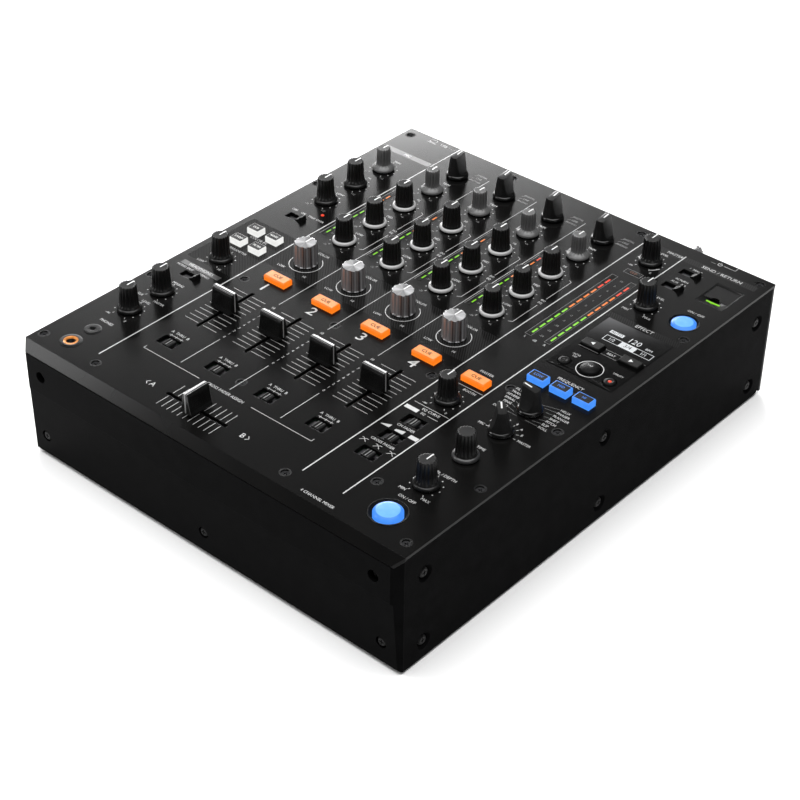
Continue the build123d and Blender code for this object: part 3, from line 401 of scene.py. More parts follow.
# ---- mesh building ----
class Shape:
    """Faces in millimetres that become one mesh, with a material number for each face."""

    def __init__(self):
        self.bm = bmesh.new()

    def faces(self, points, faces, slot=0, move=None):
        made = [self.bm.verts.new(move @ Vector(p) if move else Vector(p)) for p in points]
        for face in faces:
            self.bm.faces.new([made[i] for i in face]).material_index = slot

    def run(self, points, slot=0, move=None):
        """A solid between two outlines of as many points, given one after the other."""
        count = len(points) // 2
        sides = [(i, (i + 1) % count, (i + 1) % count + count, i + count) for i in range(count)]
        caps = [tuple(range(count)), tuple(range(count, 2 * count))]
        self.faces(points, caps + sides, slot, move)

    def prism(self, outline, low, high, slot=0, move=None):
        """An outline in x and y, run from low to high in z."""
        self.run([(x, y, z) for z in (low, high) for x, y in outline], slot, move)

    def block(self, low, high, slot=0, move=None):
        outline = [(low[0], low[1]), (high[0], low[1]), (high[0], high[1]), (low[0], high[1])]
        self.prism(outline, low[2], high[2], slot, move)

    def bar(self, start, end, width, low, high, slot=0):
        """A straight printed line between two points."""
        a, b = Vector(start), Vector(end)
        side = (b - a).normalized().orthogonal() * width / 2
        self.prism([tuple(a - side), tuple(b - side), tuple(b + side), tuple(a + side)], low, high, slot)

    def arc(self, x, y, radius, width, start, end, low, high, steps=48, slot=0):
        """A printed arc from one angle to another, in degrees anticlockwise from +X."""
        inner, outer = radius - width / 2, radius + width / 2
        closed = abs(end - start) >= 360
        count = steps if closed else steps + 1
        points = []
        for i in range(count):
            angle = radians(start + (end - start) * i / steps)
            for r, z in ((inner, low), (outer, low), (outer, high), (inner, high)):
                points.append((x + r * cos(angle), y + r * sin(angle), z))
        faces = []
        for i in range(steps):
            a, b = 4 * i, 4 * ((i + 1) % count)
            faces += [(a + k, b + k, b + (k + 1) % 4, a + (k + 1) % 4) for k in range(4)]
        if not closed:
            faces += [(0, 1, 2, 3), tuple(4 * steps + k for k in range(4))]
        self.faces(points, faces, slot)

    def turned(self, profile, segments=96, warp=None, x=0.0, y=0.0):
        """A closed outline of (radius, height, material) turned about an upright axis.

        warp changes a radius by its height and angle.
        """
        rings = []
        for radius, z, _ in profile:
            if radius == 0:
                rings.append([self.bm.verts.new((x, y, z))] * segments)
                continue
            ring = []
            for i in range(segments):
                angle = 2 * pi * i / segments
                r = warp(radius, z, angle) if warp else radius
                ring.append(self.bm.verts.new((x + r * cos(angle), y + r * sin(angle), z)))
            rings.append(ring)
        for low, high, (_, _, slot) in zip(rings, rings[1:] + rings[:1], profile):
            for i in range(segments):
                j = (i + 1) % segments
                corners = [low[i], low[j], high[j], high[i]]
                unique = [v for k, v in enumerate(corners) if v not in corners[:k]]
                if len(unique) > 2:
                    self.bm.faces.new(unique).material_index = slot

    def letters(self, text, x, y, size, low, high, slot=0, squeeze=0.92, align="CENTER", bold=0.0):
        """Plain built-in lettering as a raised solid. size is the height of a capital."""
        curve = bpy.data.curves.new("letters", "FONT")
        curve.body = text
        curve.size = size / 0.72
        curve.align_x = align
        curve.align_y = "CENTER"
        curve.extrude = (high - low) / 2
        curve.offset = bold
        curve.resolution_u = 2
        made = bpy.data.objects.new("letters", curve)
        scene.collection.objects.link(made)
        mesh = evaluated(made)
        mesh.transform(Matrix.Translation((x, y, (low + high) / 2)) @ Matrix.Diagonal((squeeze, 1, 1, 1)))
        for polygon in mesh.polygons:
            polygon.material_index = slot
        self.bm.from_mesh(mesh)
        bpy.data.objects.remove(made)
        bpy.data.curves.remove(curve)
        bpy.data.meshes.remove(mesh)

    def mesh(self, name, materials, sharp=30.0, move=TO_ROW):
        """The finished mesh. Edges over sharp degrees stay sharp."""
        bmesh.ops.remove_doubles(self.bm, verts=self.bm.verts, dist=1e-4)
        bmesh.ops.recalc_face_normals(self.bm, faces=self.bm.faces)
        self.bm.transform(move)
        return to_mesh(self.bm, name, materials, sharp)


def evaluated(piece):
    """A new mesh of an object with its modifiers."""
    return bpy.data.meshes.new_from_object(piece.evaluated_get(bpy.context.evaluated_depsgraph_get()))


def to_mesh(bm, name, materials, sharp):
    mesh = bpy.data.meshes.new(name)
    bm.to_mesh(mesh)
    bm.free()
    for material in materials:
        mesh.materials.append(material)
    mesh.shade_smooth()
    mesh.set_sharp_from_angle(angle=radians(sharp))
    return mesh


def soften(piece, width, segments, limit):
    """Rounds an object's edges over limit degrees."""
    modifier = piece.modifiers.new("bevel", "BEVEL")
    modifier.width = width * MM
    modifier.segments = segments
    modifier.limit_method = "ANGLE"
    modifier.angle_limit = radians(limit)
    return modifier


def place(name, mesh, node=None, slot=None, middle=None, angle=0.0, bevel=0.0, segments=2):
    """Links a mesh as a piece that stands for a CAD node on the node's own body, or is added to the case.

    Without a middle its points are already in the row frame.
    """
    piece = bpy.data.objects.new(name, mesh)
    scene.collection.objects.link(piece)
    if middle:
        piece.location = at(*middle)
        piece.rotation_euler.z = radians(angle)
    if bevel:
        soften(piece, bevel, segments, 40).harden_normals = True
    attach(piece, f"{node}_body" if node else "case")
    if node:
        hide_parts(node)
    return piece


# ---- carried-over CAD nodes ----
for node, material in {"top_panel": PANEL, "front_panel": FACE, "side_walls": CASE, "bottom_tray": REAR,
                       "rear_panel": REAR, "feet": RUBBER, "screws": SCREW}.items():
    for material_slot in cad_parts[node].material_slots:
        material_slot.material = material


def copy_parts(node, sorter, slots):
    """Sorts the solids of a CAD node into pieces of different materials."""
    sets = defaultdict(list)
    for low, high, members in parts_of(node):
        sets[sorter((low + high) / 2, *(high - low))] += members
    made = []
    for kind, members in sets.items():
        keep = set(members)
        bm = bmesh.new()
        bm.from_mesh(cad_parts[node].data)
        bm.faces.ensure_lookup_table()
        bmesh.ops.delete(bm, geom=[f for f in bm.faces if f.index not in keep], context="FACES")
        bmesh.ops.remove_doubles(bm, verts=bm.verts, dist=1e-7)
        name = f"{node}_{kind}"
        made.append(place(name, to_mesh(bm, name, [slots[kind]], 30)))
    for piece in made:
        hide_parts(node)


def near(a, b, gap=0.2):
    return abs(a - b) < gap


def sort_socket(middle, wide, deep, tall):
    if middle.y < 0:
        return "gold" if wide > 11 else "dark"
    if near(wide, 12.0) and deep < 1.5 and middle.y >= 160:
        return "red" if middle.z < -30 else "white"
    plated = near(wide, 8.3) or near(wide, 14.0) or wide < 4.5 or near(middle.x, 93, 1)
    return "steel" if middle.y < 160 or plated else "black"


def sort_board(middle, wide, deep, tall):
    if near(tall, 1.6, 0.1) and wide > 50:
        return "green"
    if deep > 20 and tall > 20 and wide > 50:
        return "fins"
    return "steel" if near(wide, 6.8) or near(wide, 6.0, 0.1) and tall > 7 else "black"


def sort_insert(middle, wide, deep, tall):
    if wide > 40:
        return "display"
    if wide > 24 or wide > 20 and deep < 21:
        return "well"
    if wide > 20:
        return "usb"
    if wide < 2.4 and deep < 2.4:
        return "lamp"
    return "bar" if wide > 10 and deep < 2 else "window"


copy_parts("sockets", sort_socket, {"gold": JACK_GOLD, "dark": FLAP, "black": SOCKET_BLACK, "steel": STEEL,
                                    "white": SOCKET_WHITE, "red": SOCKET_RED})
copy_parts("circuit_boards", sort_board, {"green": BOARD, "fins": FIN, "steel": STEEL, "black": PARTS})
copy_parts("panel_inserts", sort_insert, {"display": DISPLAY, "well": FLAP, "usb": FLAP, "lamp": RED,
                                          "bar": GREEN, "window": SLOT_EDGE})

# ---- knobs ----
LIFT = 0.7                # underside of a knob over the panel
SHAFT = 3.0
SHAFT_END = -12.0


def ribs(count, depth, low, high):
    """Narrow upright grooves between two heights."""
    def warp(radius, z, angle):
        if not low <= z <= high:
            return radius
        return radius - depth * (0.5 + 0.5 * cos(count * angle)) ** 1.2 * min(1.0, radius / 4.0)
    return warp


def flutes(count, reach, flute, low, high):
    """Wide round flutes, cut by cylinders whose middles lie at reach."""
    def warp(radius, z, angle):
        step = 2 * pi / count
        off = (angle + step / 2) % step - step / 2
        side = reach * sin(off)
        if abs(side) >= flute or not low <= z <= high:
            return radius
        return min(radius, reach * cos(off) - sqrt(flute ** 2 - side ** 2))
    return warp


def stem(shape, slot):
    """The shaft below a knob."""
    shape.turned([(0, SHAFT_END, slot), (SHAFT, SHAFT_END, slot), (SHAFT, 4.0, slot), (0, 4.0, slot)], 32)


def plain_knob(name, collar, body, top, base=8.3, foot=6.4, head=5.75, height=19.2, steep=0.0, pointer=True):
    """A ribbed cap on a round collar. steep widens the foot of the cap into a cone."""
    skirt = 3.1
    start, rise = skirt + 1.9, height - 0.75 - skirt - 1.9
    profile = [(SHAFT + 0.2, LIFT, 0), (base - 0.4, LIFT, 0), (base, 1.1, 0), (base, 1.9, 0),
               (base - 0.25, 2.45, 0), (base - 0.7, skirt - 0.25, 0), (base - 1.2, skirt, 1),
               (foot + 1.6 * steep, skirt + 0.1, 1), (foot + 0.7 * steep, skirt + 0.9, 1),
               (foot + 0.25, skirt + 1.6, 1)]
    profile += [(foot + (head - foot) * t, start + rise * t, 1) for t in (0, 0.33, 0.66, 1)]
    profile += [(head - 0.12, height - 0.42, 1), (head - 0.45, height - 0.1, 1), (head - 0.8, height, 2),
                (head - 1.1, height - 0.02, 2), (0.0, height - 0.05, 2), (0, LIFT, 0)]
    shape = Shape()
    shape.turned(profile, 192, ribs(16, 0.72, skirt + 1.5, height + 0.1))
    stem(shape, 3)
    if pointer:
        shape.block((-0.4, -0.4, height - 0.3), (0.4, head - 0.25, height), 4)
        shape.block((-0.4, head - 0.8, height - 2.4), (0.4, head + 0.02, height - 0.02), 4)
    return shape.mesh(name, [collar, body, top, STEEL, POINTER], 38.0, LOCAL)


def metal_knob():
    """A fluted metal cap with a polished rim and a turned top."""
    profile = [(SHAFT + 0.2, LIFT, 0), (7.9, LIFT, 0), (8.3, 1.0, 0), (8.3, 1.5, 0)]
    profile += [(8.3 - 0.55 * t, 1.6 + 14.2 * t, 0) for t in (0, 0.25, 0.5, 0.75, 1.0)]
    profile += [(7.6, 16.35, 1), (7.3, 16.7, 1), (7.0, 16.8, 2), (6.0, 16.78, 2), (3.0, 16.74, 2),
                (0, 16.7, 2),
                (0, LIFT, 0)]
    shape = Shape()
    shape.turned(profile, 240, flutes(11, 8.95, 2.1, 1.0, 16.9))
    stem(shape, 3)
    shape.block((-0.45, 0.2, 16.5), (0.45, 7.0, 16.98), 4)
    return shape.mesh("metal_knob", [FLUTED, CHROME, TURNED, STEEL, POINTER], move=LOCAL)


def cut(mesh, cutters):
    """Subtracts meshes from a mesh, softens its edges and returns the result."""
    tools = [bpy.data.objects.new("cut_tool", part) for part in (mesh, *cutters)]
    for tool in tools:
        scene.collection.objects.link(tool)
    body = tools[0]
    for tool in tools[1:]:
        modifier = body.modifiers.new("cut", "BOOLEAN")
        modifier.operation = "DIFFERENCE"
        modifier.solver = "EXACT"
        modifier.object = tool
    soften(body, 0.22, 3, 34)
    result = evaluated(body)
    for tool in tools:
        bpy.data.objects.remove(tool)
    result.shade_smooth()
    result.set_sharp_from_angle(angle=radians(45))
    return result


# height of a wing at its pointer and at its back, and the y of its pointer
WING_TOP, WING_BACK, WING_POINT = 18.8, 16.4, 5.2


def wing_body(name, material):
    """A cone whose two sides are scooped away, leaving an upright wing."""
    foot, head, ridge, reach = 6.9, 5.5, 2.4, 12
    shape = Shape()
    shape.turned([(0, 3.0, 0), (7.0, 3.0, 0), (foot + 0.1, 3.4, 0), (foot - 0.3, 6.0, 0), (head, WING_TOP, 0),
                  (0, WING_TOP, 0)], 128)
    body = shape.mesh(name, [material], move=LOCAL)
    cutters = []
    for side in (-1, 1):
        outline = []
        for step in range(15):
            t = step / 14
            drop = WING_TOP + 0.3 - (WING_TOP + 0.3 - 4.3) * (1 - (1 - t) ** 1.75)
            outline.append((side * (ridge + (6.75 - ridge) * t), drop))
        outline += [(side * 11, 4.1), (side * 11, 25), (side * ridge, 25)]
        scoop = Shape()
        scoop.run([(x, y, z) for y in (-reach, reach) for x, z in outline])
        cutters.append(scoop.mesh("scoop", [material], move=LOCAL))
    outline = [(-reach, WING_BACK), (WING_POINT, WING_TOP), (reach, WING_TOP), (reach, 25), (-reach, 25)]
    wedge = Shape()
    wedge.run([(x, y, z) for x in (-reach, reach) for y, z in outline])
    cutters.append(wedge.mesh("wedge", [material], move=LOCAL))
    return cut(body, cutters)


def wing_collar(name, rim):
    """The round skirt under a wing, with its rim, shaft and pointer line."""
    shape = Shape()
    shape.turned([(SHAFT + 0.2, LIFT, 0), (7.7, LIFT, 1), (8.1, 1.1, 1), (8.1, 1.9, 0), (7.9, 2.5, 0),
                  (7.3, 3.1, 0), (6.9, 3.3, 0), (0, 3.35, 0), (0, LIFT, 0)], 128)
    stem(shape, 2)
    slope = (WING_TOP - WING_BACK) / (WING_POINT + 12)
    middle = 2.3
    lift = Matrix.Translation((0, middle, WING_TOP - slope * (WING_POINT - middle)))
    tilt = lift @ Matrix.Rotation(slope, 4, "X")
    shape.block((-0.5, -2.7, -0.3), (0.5, 2.75, 0.07), 3, tilt)
    shape.block((-0.5, 5.15, 15.6), (0.5, 5.75, 18.6), 3)
    return shape.mesh(name, [KNOB_DARK, rim, STEEL, POINTER], 38.0, LOCAL)


EQ_KNOB = plain_knob("eq_knob", RING, KNOB, KNOB_TOP)
BLACK_KNOB = plain_knob("black_knob", KNOB, KNOB, KNOB_TOP, steep=0.5)
TIME_KNOB = plain_knob("time_knob", COLLAR_GREY, KNOB, KNOB_TOP, steep=0.3, pointer=False)
TRIM_KNOB = plain_knob("trim_knob", GREY, GREY, GREY_TOP, 8.0, 5.2, 4.95, 17.6, 1.3)
METAL_KNOB = metal_knob()
WING = wing_body("wing_black", KNOB)
WING_GREY = wing_body("wing_charcoal", KNOB_TOP)
COLLAR = wing_collar("wing_collar", KNOB_DARK)
COLLAR_RIM = wing_collar("wing_collar_rim", CHROME)


def dress(node, ending, mesh, slot="knob_black", angle=0.0, **soft):
    """A piece on a knob's or a fader's axis."""
    place(f"{node}_{ending}", mesh, node, slot, spot(node), angle, **soft)


for number in CHANNEL_NUMBERS:
    for name in ("high", "mid", "low"):
        dress(f"channel_{number}_{name}_knob", "cap", EQ_KNOB)
    dress(f"channel_{number}_trim_knob", "cap", TRIM_KNOB, "knob_grey")
    dress(f"channel_{number}_color_knob", "cap", METAL_KNOB, "knob_metal")
dress("mic_trim_knob", "cap", TRIM_KNOB, "knob_grey")
for name in ("mic_high", "mic_low", "color_parameter", "headphones_mixing", "headphones_level",
             "master_level",
             "booth_level", "return_level", "effect_depth"):
    dress(f"{name}_knob", "cap", BLACK_KNOB)
dress("effect_time_knob", "cap", TIME_KNOB)
for number in CHANNEL_NUMBERS:
    dress(f"channel_{number}_source_selector", "wing", WING)
    dress(f"channel_{number}_source_selector", "collar", COLLAR)
for node, angle in (("effect_selector", 90.0), ("effect_channel_selector", 43.0)):
    dress(node, "wing", WING_GREY, angle=angle)
    dress(node, "collar", COLLAR_RIM, angle=angle)

# ---- faders ----
CAP_HALF = 9.05          # half the width of a fader cap
CAP_SIDE = [(5.0, 1.2), (5.0, 2.3), (4.45, 3.2), (3.85, 5.2), (3.2, 8.6), (2.7, 12.2), (2.35, 14.9),
            (1.9, 15.6),
            (1.25, 16.0)]   # half its depth by height


def fader_cap():
    """Tall waisted cap."""
    outline = CAP_SIDE + [(-y, z) for y, z in reversed(CAP_SIDE)]
    shape = Shape()
    shape.run([(x, y, z) for x in (-CAP_HALF, CAP_HALF) for y, z in outline])
    return shape.mesh("fader_cap", [CAP], 40.0, LOCAL)


def fader_trim():
    """The bright line over the cap's ridge and down both ends, and the lever under the cap."""
    shape = Shape()
    shape.block((-9.0, -0.42, 15.8), (9.0, 0.42, 16.1))
    for side in (-1.25, 1.25):
        shape.block((-9.0, side - 0.14, 15.6), (9.0, side + 0.14, 16.03))
    for side in (-1, 1):
        low, high = sorted((side * 8.9, side * 9.12))
        shape.block((low, -0.5, 2.2), (high, 0.5, 15.95))
    shape.block((-0.6, -2.0, -10.0), (0.6, 2.0, 6.0), 1)
    return shape.mesh("fader_trim", [CAP_LINE, STEEL], move=LOCAL)


CAP_MESH = fader_cap()
TRIM_MESH = fader_trim()
for node in [*(f"channel_{number}_fader" for number in CHANNEL_NUMBERS), "crossfader"]:
    angle = 90.0 if node == "crossfader" else 0.0
    dress(node, "cap", CAP_MESH, angle=angle, bevel=0.45, segments=3)
    dress(node, "trim", TRIM_MESH, angle=angle, bevel=0.1)

# ---- buttons ----
BUTTON_FOOT = -4.5
STEM_END = -6.2


def rounded(x, y, width, depth, radius, steps=5):
    """Anticlockwise outline of a rectangle with round corners."""
    outline = []
    for side_x, side_y, start in ((1, 1, 0), (-1, 1, 90), (-1, -1, 180), (1, -1, 270)):
        for step in range(steps + 1):
            angle = radians(start + 90 * step / steps)
            outline.append((x + side_x * (width / 2 - radius) + radius * cos(angle),
                            y + side_y * (depth / 2 - radius) + radius * sin(angle)))
    return outline


def button_stem(shape, x, y):
    shape.block((x - 1.5, y - 1.5, STEM_END), (x + 1.5, y + 1.5, BUTTON_FOOT + 0.1))


def key_top(shape, x, y, width, depth, top, top_slot, bevel, radius):
    """Rounded key with a sloping edge, whose top may have its own material."""
    loops = []
    for inset, z in ((0.0, BUTTON_FOOT), (0.0, top - bevel),
                    (bevel * 0.45, top - bevel * 0.35), (bevel, top)):
        outline = rounded(x, y, width - 2 * inset, depth - 2 * inset, max(radius - inset * 0.5, 0.3))
        loops.append([shape.bm.verts.new((px, py, z)) for px, py in outline])
    for low, high in zip(loops, loops[1:]):
        for i in range(len(low)):
            j = (i + 1) % len(low)
            shape.bm.faces.new((low[i], low[j], high[j], high[i]))
    shape.bm.faces.new(list(reversed(loops[0])))
    shape.bm.faces.new(loops[-1]).material_index = top_slot
    button_stem(shape, x, y)


def round_key(shape, x, y, radius, top, profile):
    """Round key from (inset, drop from the top, material) steps, of which the last is in its middle."""
    outline = [(0, BUTTON_FOOT, 0), (radius, BUTTON_FOOT, 0)]
    outline += [(radius - inset, top - drop, slot) for inset, drop, slot in profile]
    shape.turned(outline, 72, None, x, y)
    button_stem(shape, x, y)


def solids(node):
    """(x, y, half the width, half the depth, bottom, top) of every solid of a node, from the rear left."""
    found = []
    for low, high, _ in parts_of(node):
        middle, half = (low + high) / 2, (high - low) / 2
        found.append((middle.x, middle.y, half.x, half.y, low.z, high.z))
    return sorted(found, key=lambda row: (round(-row[1]), row[0]))


def keys_of(node):
    """(x, y, width, depth, top) of every key of a button node, from the rear left."""
    return [(x, y, 2 * half_x, 2 * half_y, top) for x, y, half_x, half_y, _, top in solids(node)]


def cue_keys():
    shape = Shape()
    for x, y, width, depth, top in keys_of("cue_buttons"):
        key_top(shape, x, y, width, depth, top, 1, 0.9, 1.0)
        shape.letters("CUE", x, y, 2.7, top - 0.1, top + 0.06, 2, 1.05, bold=0.03)
    return shape.mesh("cue_keys", [ORANGE, ORANGE_TOP, SLOT_EDGE], 25.0)


def color_keys():
    shape = Shape()
    words = ("DUB", "NOISE", "SWEEP", "FILTER")
    for (x, y, width, depth, top), word in zip(keys_of("color_effect_buttons"), words):
        key_top(shape, x, y, width, depth, top, 0, 0.5, 0.7)
        shape.prism(rounded(x, y, width - 1.2, depth - 1.2, 0.4), top - 0.1, top + 0.03, 1)
        shape.letters(word, x, y, 1.9, top - 0.1, top + 0.06, 0, 0.9)
    return shape.mesh("color_keys", [WHITE_GLOW, SLOT_EDGE], 25.0)


def blue_keys():
    shape = Shape()
    words = iter(["LOW", "MID", "HI"])
    for x, y, width, depth, top in keys_of("blue_buttons"):
        if abs(width - depth) < 0.5:
            dome = 0.55 if top < 1 else 0.9
            round_key(shape, x, y, width / 2, top, [
                (0, dome * 1.9, 0), (0.5, dome * 1.2, 0), (1.2, dome * 0.55, 0),
                (2.0, dome * 0.16, 1), (3.2, 0, 1),
                (width / 2, 0, 1)])
            continue
        key_top(shape, x, y, width, depth, top, 0, 0.5, 0.8)
        shape.prism(rounded(x, y, width - 1.9, depth - 1.9, 0.5), top - 0.1, top + 0.05, 2)
        shape.letters(next(words), x, y, 2.2, top - 0.1, top + 0.1, 3, 0.95)
    return shape.mesh("blue_keys", [BLUE, BLUE_CORE, SLOT_EDGE, LEGEND_BLUE], 25.0)


def beat_keys():
    """Two arrow keys, a domed key and two small round ones, of which the right one holds a lamp."""
    shape = Shape()
    arrows = iter([-1, 1])
    for x, y, width, depth, top in keys_of("beat_buttons"):
        if width > 14:
            key_top(shape, x, y, width, depth, top, 0, 0.6, 0.6)
            side = next(arrows)
            arrow = [(x + side * 1.5, y), (x - side * 1.1, y + 1.5), (x - side * 1.1, y - 1.5)]
            shape.prism(arrow, top - 0.1, top + 0.05, 1)
        elif width > 10:
            round_key(shape, x, y, width / 2, top, [
                (0, 2.2, 0), (0.5, 1.35, 0), (1.5, 0.75, 0), (2.7, 0.35, 0), (4.0, 0.12, 0), (5.2, 0.03, 0),
                (width / 2, 0, 0)])
            shape.letters("TAP", x, y, 1.7, top - 0.15, top + 0.05, 2, 0.95)
        else:
            round_key(shape, x, y, width / 2, top, [
                (0, 0.9, 0), (0.35, 0.4, 0), (1.0, 0.1, 0), (1.7, 0, 0),
                (2.4, 0.35, 0), (width / 2, 0.45, 0)])
            lamp = 3 if x > EFFECT_X else 0
            shape.turned([(0, top - 1.0, lamp), (1.25, top - 1.0, lamp), (1.25, top - 0.4, lamp),
                          (0.8, top - 0.12, lamp), (0, top - 0.05, lamp)], 32, None, x, y)
    return shape.mesh("beat_keys", [FLAP, POINTER, RING, RED], 25.0)


place("cue_keys", cue_keys(), "cue_buttons", "button_orange")
place("color_keys", color_keys(), "color_effect_buttons", "button_white")
place("blue_keys", blue_keys(), "blue_buttons", "button_blue")
place("beat_keys", beat_keys(), "beat_buttons", "button_black")


# ---- slide and lever switches ----
def slide_keys():
    """Keys with three soft waves across and a thin white line in the middle."""
    shape = Shape()
    steps = 24
    for x, y, half_width, half_depth, bottom, top in solids("slide_switches"):
        outline = [(-half_width, top - 2.6), (half_width, top - 2.6), (half_width, top - 0.5)]
        for step in range(1, steps):
            across = half_width - 2 * half_width * step / steps
            outline.append((across, top - 0.3 + 0.28 * cos(across / half_width * pi * 3)))
        outline.append((-half_width, top - 0.5))
        shape.run([(x + px, y + py, z) for py in (-half_depth, half_depth) for px, z in outline])
        shape.block((x - 0.3, y - half_depth + 0.5, top - 0.3),
                    (x + 0.3, y + half_depth - 0.5, top + 0.02), 1)
        shape.block((x - 1.0, y - 0.8, bottom), (x + 1.0, y + 0.8, top - 2.5))
    return shape.mesh("slide_keys", [SLIDE, INK_DIM], 40.0)


# side of a lever switch's key, from its middle
LEVER_SIDE = [(-3.0, -2.6), (3.0, -2.6), (3.0, 3.1), (2.6, 3.55), (2.0, 3.6), (1.4, 3.2), (0.9, 2.4),
              (0.3, 1.75),
              (-0.6, 1.2), (-1.6, 0.8), (-2.4, 0.5), (-3.0, 0.1)]


def lever_keys():
    """Keys with one raised end."""
    shape = Shape()
    for x, y, _, _, bottom, _ in solids("lever_switches"):
        shape.run([(x + px, y + py, z) for py in (-2.6, 2.6) for px, z in LEVER_SIDE])
        shape.block((x - 1.0, y - 0.8, bottom), (x + 1.0, y + 0.8, -2.5))
    return shape.mesh("lever_keys", [KEY], 50.0)


place("slide_keys", slide_keys(), "slide_switches", "button_black", bevel=0.15)
place("lever_keys", lever_keys(), "lever_switches", "button_black", bevel=0.25)

# ---- level meters and lamps ----
METER_SHIFT = -17.0               # a channel's meter from the channel's middle
MASTER_METERS = (75.2, 90.2)
LAMPS = (0.10, 0.21)              # bottom and top of the lit segments, just over their windows


def meter_column(shape, x, half_width, half_length, first, step, greens, ambers, count):
    for k in range(count):
        y = first + step * k
        slot = 0 if k < greens else 1 if k < ambers else 2
        shape.block((x - half_width, y - half_length, LAMPS[0]),
                    (x + half_width, y + half_length, LAMPS[1]), slot)


lamps = Shape()
for channel in CHANNELS:
    meter_column(lamps, channel + METER_SHIFT, 0.5, 2.2, 36.6, 6.85, 6, 10,
                 11 if channel == CHANNELS[3] else 10)
for x in MASTER_METERS:
    meter_column(lamps, x, 0.65, 2.8, 36.4, 7.8, 5, 9, 11)
lamps.letters("CLIP", 82.0, 134.0, 2.2, *LAMPS, 3)
place("meter_lamps", lamps.mesh("meter_lamps", [GREEN, AMBER, RED, AMBER_DIM]))

# ---- printing on the panel ----
PRINT = (-0.05, 0.035)            # bottom and top of the ink
LETTER_SCALE = 1.13
DOTS, DOT_RADIUS, DOT_SWEEP = 11, 9.9, 300.0     # a knob's scale
ink = Shape()
dim = Shape()


def line(points, width=0.45, shape=ink):
    for start, end in zip(points, points[1:]):
        shape.bar(start, end, width, *PRINT)


def rectangle(left, right, front, rear):
    return [(left, front), (right, front), (right, rear), (left, rear), (left, front)]


def word(text, x, y, size=2.1, shape=ink, **options):
    shape.letters(text, x, y, size * LETTER_SCALE, *PRINT, **options)


def words(*rows):
    """Words, each as (text, x, y, height of a capital)."""
    for row in rows:
        word(*row)


def dots(x, y):
    """Scale of a knob: dots with a longer mark at the middle and at both ends."""
    for k in range(DOTS):
        angle = radians(90 - DOT_SWEEP / 2 + DOT_SWEEP * k / (DOTS - 1))
        px, py = x + DOT_RADIUS * cos(angle), y + DOT_RADIUS * sin(angle)
        if k in (0, DOTS // 2, DOTS - 1):
            reach = DOT_RADIUS + 1.5
            ink.bar((px - 0.1, py), (x + reach * cos(angle), y + reach * sin(angle)), 0.4, *PRINT)
        else:
            ink.arc(px, py, 0.22, 0.44, 0, 360, *PRINT, 10)


def scale(x, y, *labels):
    """A knob's dots and words. Each is (text, x and y from the knob's middle, size, shape if not ink)."""
    dots(x, y)
    for text, across, up, *rest in labels:
        word(text, x + across, y + up, *rest)


CHANNEL_GAPS = (-66.75, -23.6, 19.6)        # between the channels
for x, rear in ((-111.5, 186.0), (64.5, 186.0), (96.25, 175.0)):
    line([(x, -168.0), (x, rear)], 0.8)
for index, channel in enumerate(CHANNELS):
    word(str(index + 1), channel - 0.3, -43.8, 7.6, squeeze=1.15, bold=0.05)
    for row, name, low, high in (("trim", "TRIM", "-∞", "+9"), ("high", "HI", "-26", "+6"),
                                 ("mid", "MID", "-26", "+6"),
                                 ("low", "LOW", "-26", "+6")):
        scale(channel, ROW[row], (name, 1.6, 13.6, 2.0), (low, -7.7, -11.3, 1.6, dim),
              (high, 7.7, -11.3, 1.6, dim))
    x, y = channel, ROW["color"]
    words(("COLOR", x + 2.0, y + 15.2, 2.0), ("LOW", x - 10.6, y - 13.0, 1.9),
          ("HI", x + 10.6, y - 13.0, 1.9))
    ink.arc(x, y, 11.4, 0.5, -240, 60, *PRINT, 64)
    y = ROW["selector"]
    for k, label in enumerate(("PHONO", "LINE", "DIGITAL")):
        word(label, x + 14.2, y + 3.0 + 4.2 * k, 1.7, dim)
        line([(x + 8.8, y + 2.4 + 3.4 * k), (x + 11.0, y + 3.0 + 4.2 * k)], 0.25, dim)
    edge = channel + 16.7
    line([(edge - 2.6, 33.4), (edge, 34.8), (edge, 60.5)], 0.35)
    line([(edge, 70.0), (edge, 97.0), (edge - 2.6, 98.4)], 0.35)
    words(("ISO", edge - 0.3, 67.2, 1.7), ("EQ", edge - 0.3, 63.8, 1.7))
    line([(channel - 20.3, 31.0), (channel - 20.3, 110.0)], 0.3, dim)
    for k, mark in enumerate(("10", "7", "4", "2", "1", "0", "-1", "-3", "-5", "-15", "-24")):
        word(mark, channel - 13.2, 105.0 - 6.85 * k, 1.3, dim)
    for y in [ROW["fader"] + 22.1 - 4.45 * k for k in range(11)]:
        line([(channel - 14.3, y), (channel - 2.1, y)], 0.28)
        line([(channel + 2.1, y), (channel + 14.3, y)], 0.28)
    x = channel - 0.3
    word("A  THRU  B", x, -119.5)
    line([(x - 6.0, -123.0), (x + 6.0, -123.0)], 0.3)
    for mark in (x - 4.5, x, x + 4.5):
        line([(mark, -124.0), (mark, -122.0)], 0.35)
for x in CHANNEL_GAPS:
    line([(x, -52.0), (x, 164.0)], 0.42)
    line([(x, -140.0), (x, -106.0)], 0.42)
    for k in range(11):
        word(str(10 - k), x, ROW["fader"] + 22.1 - 4.45 * k, 1.9)

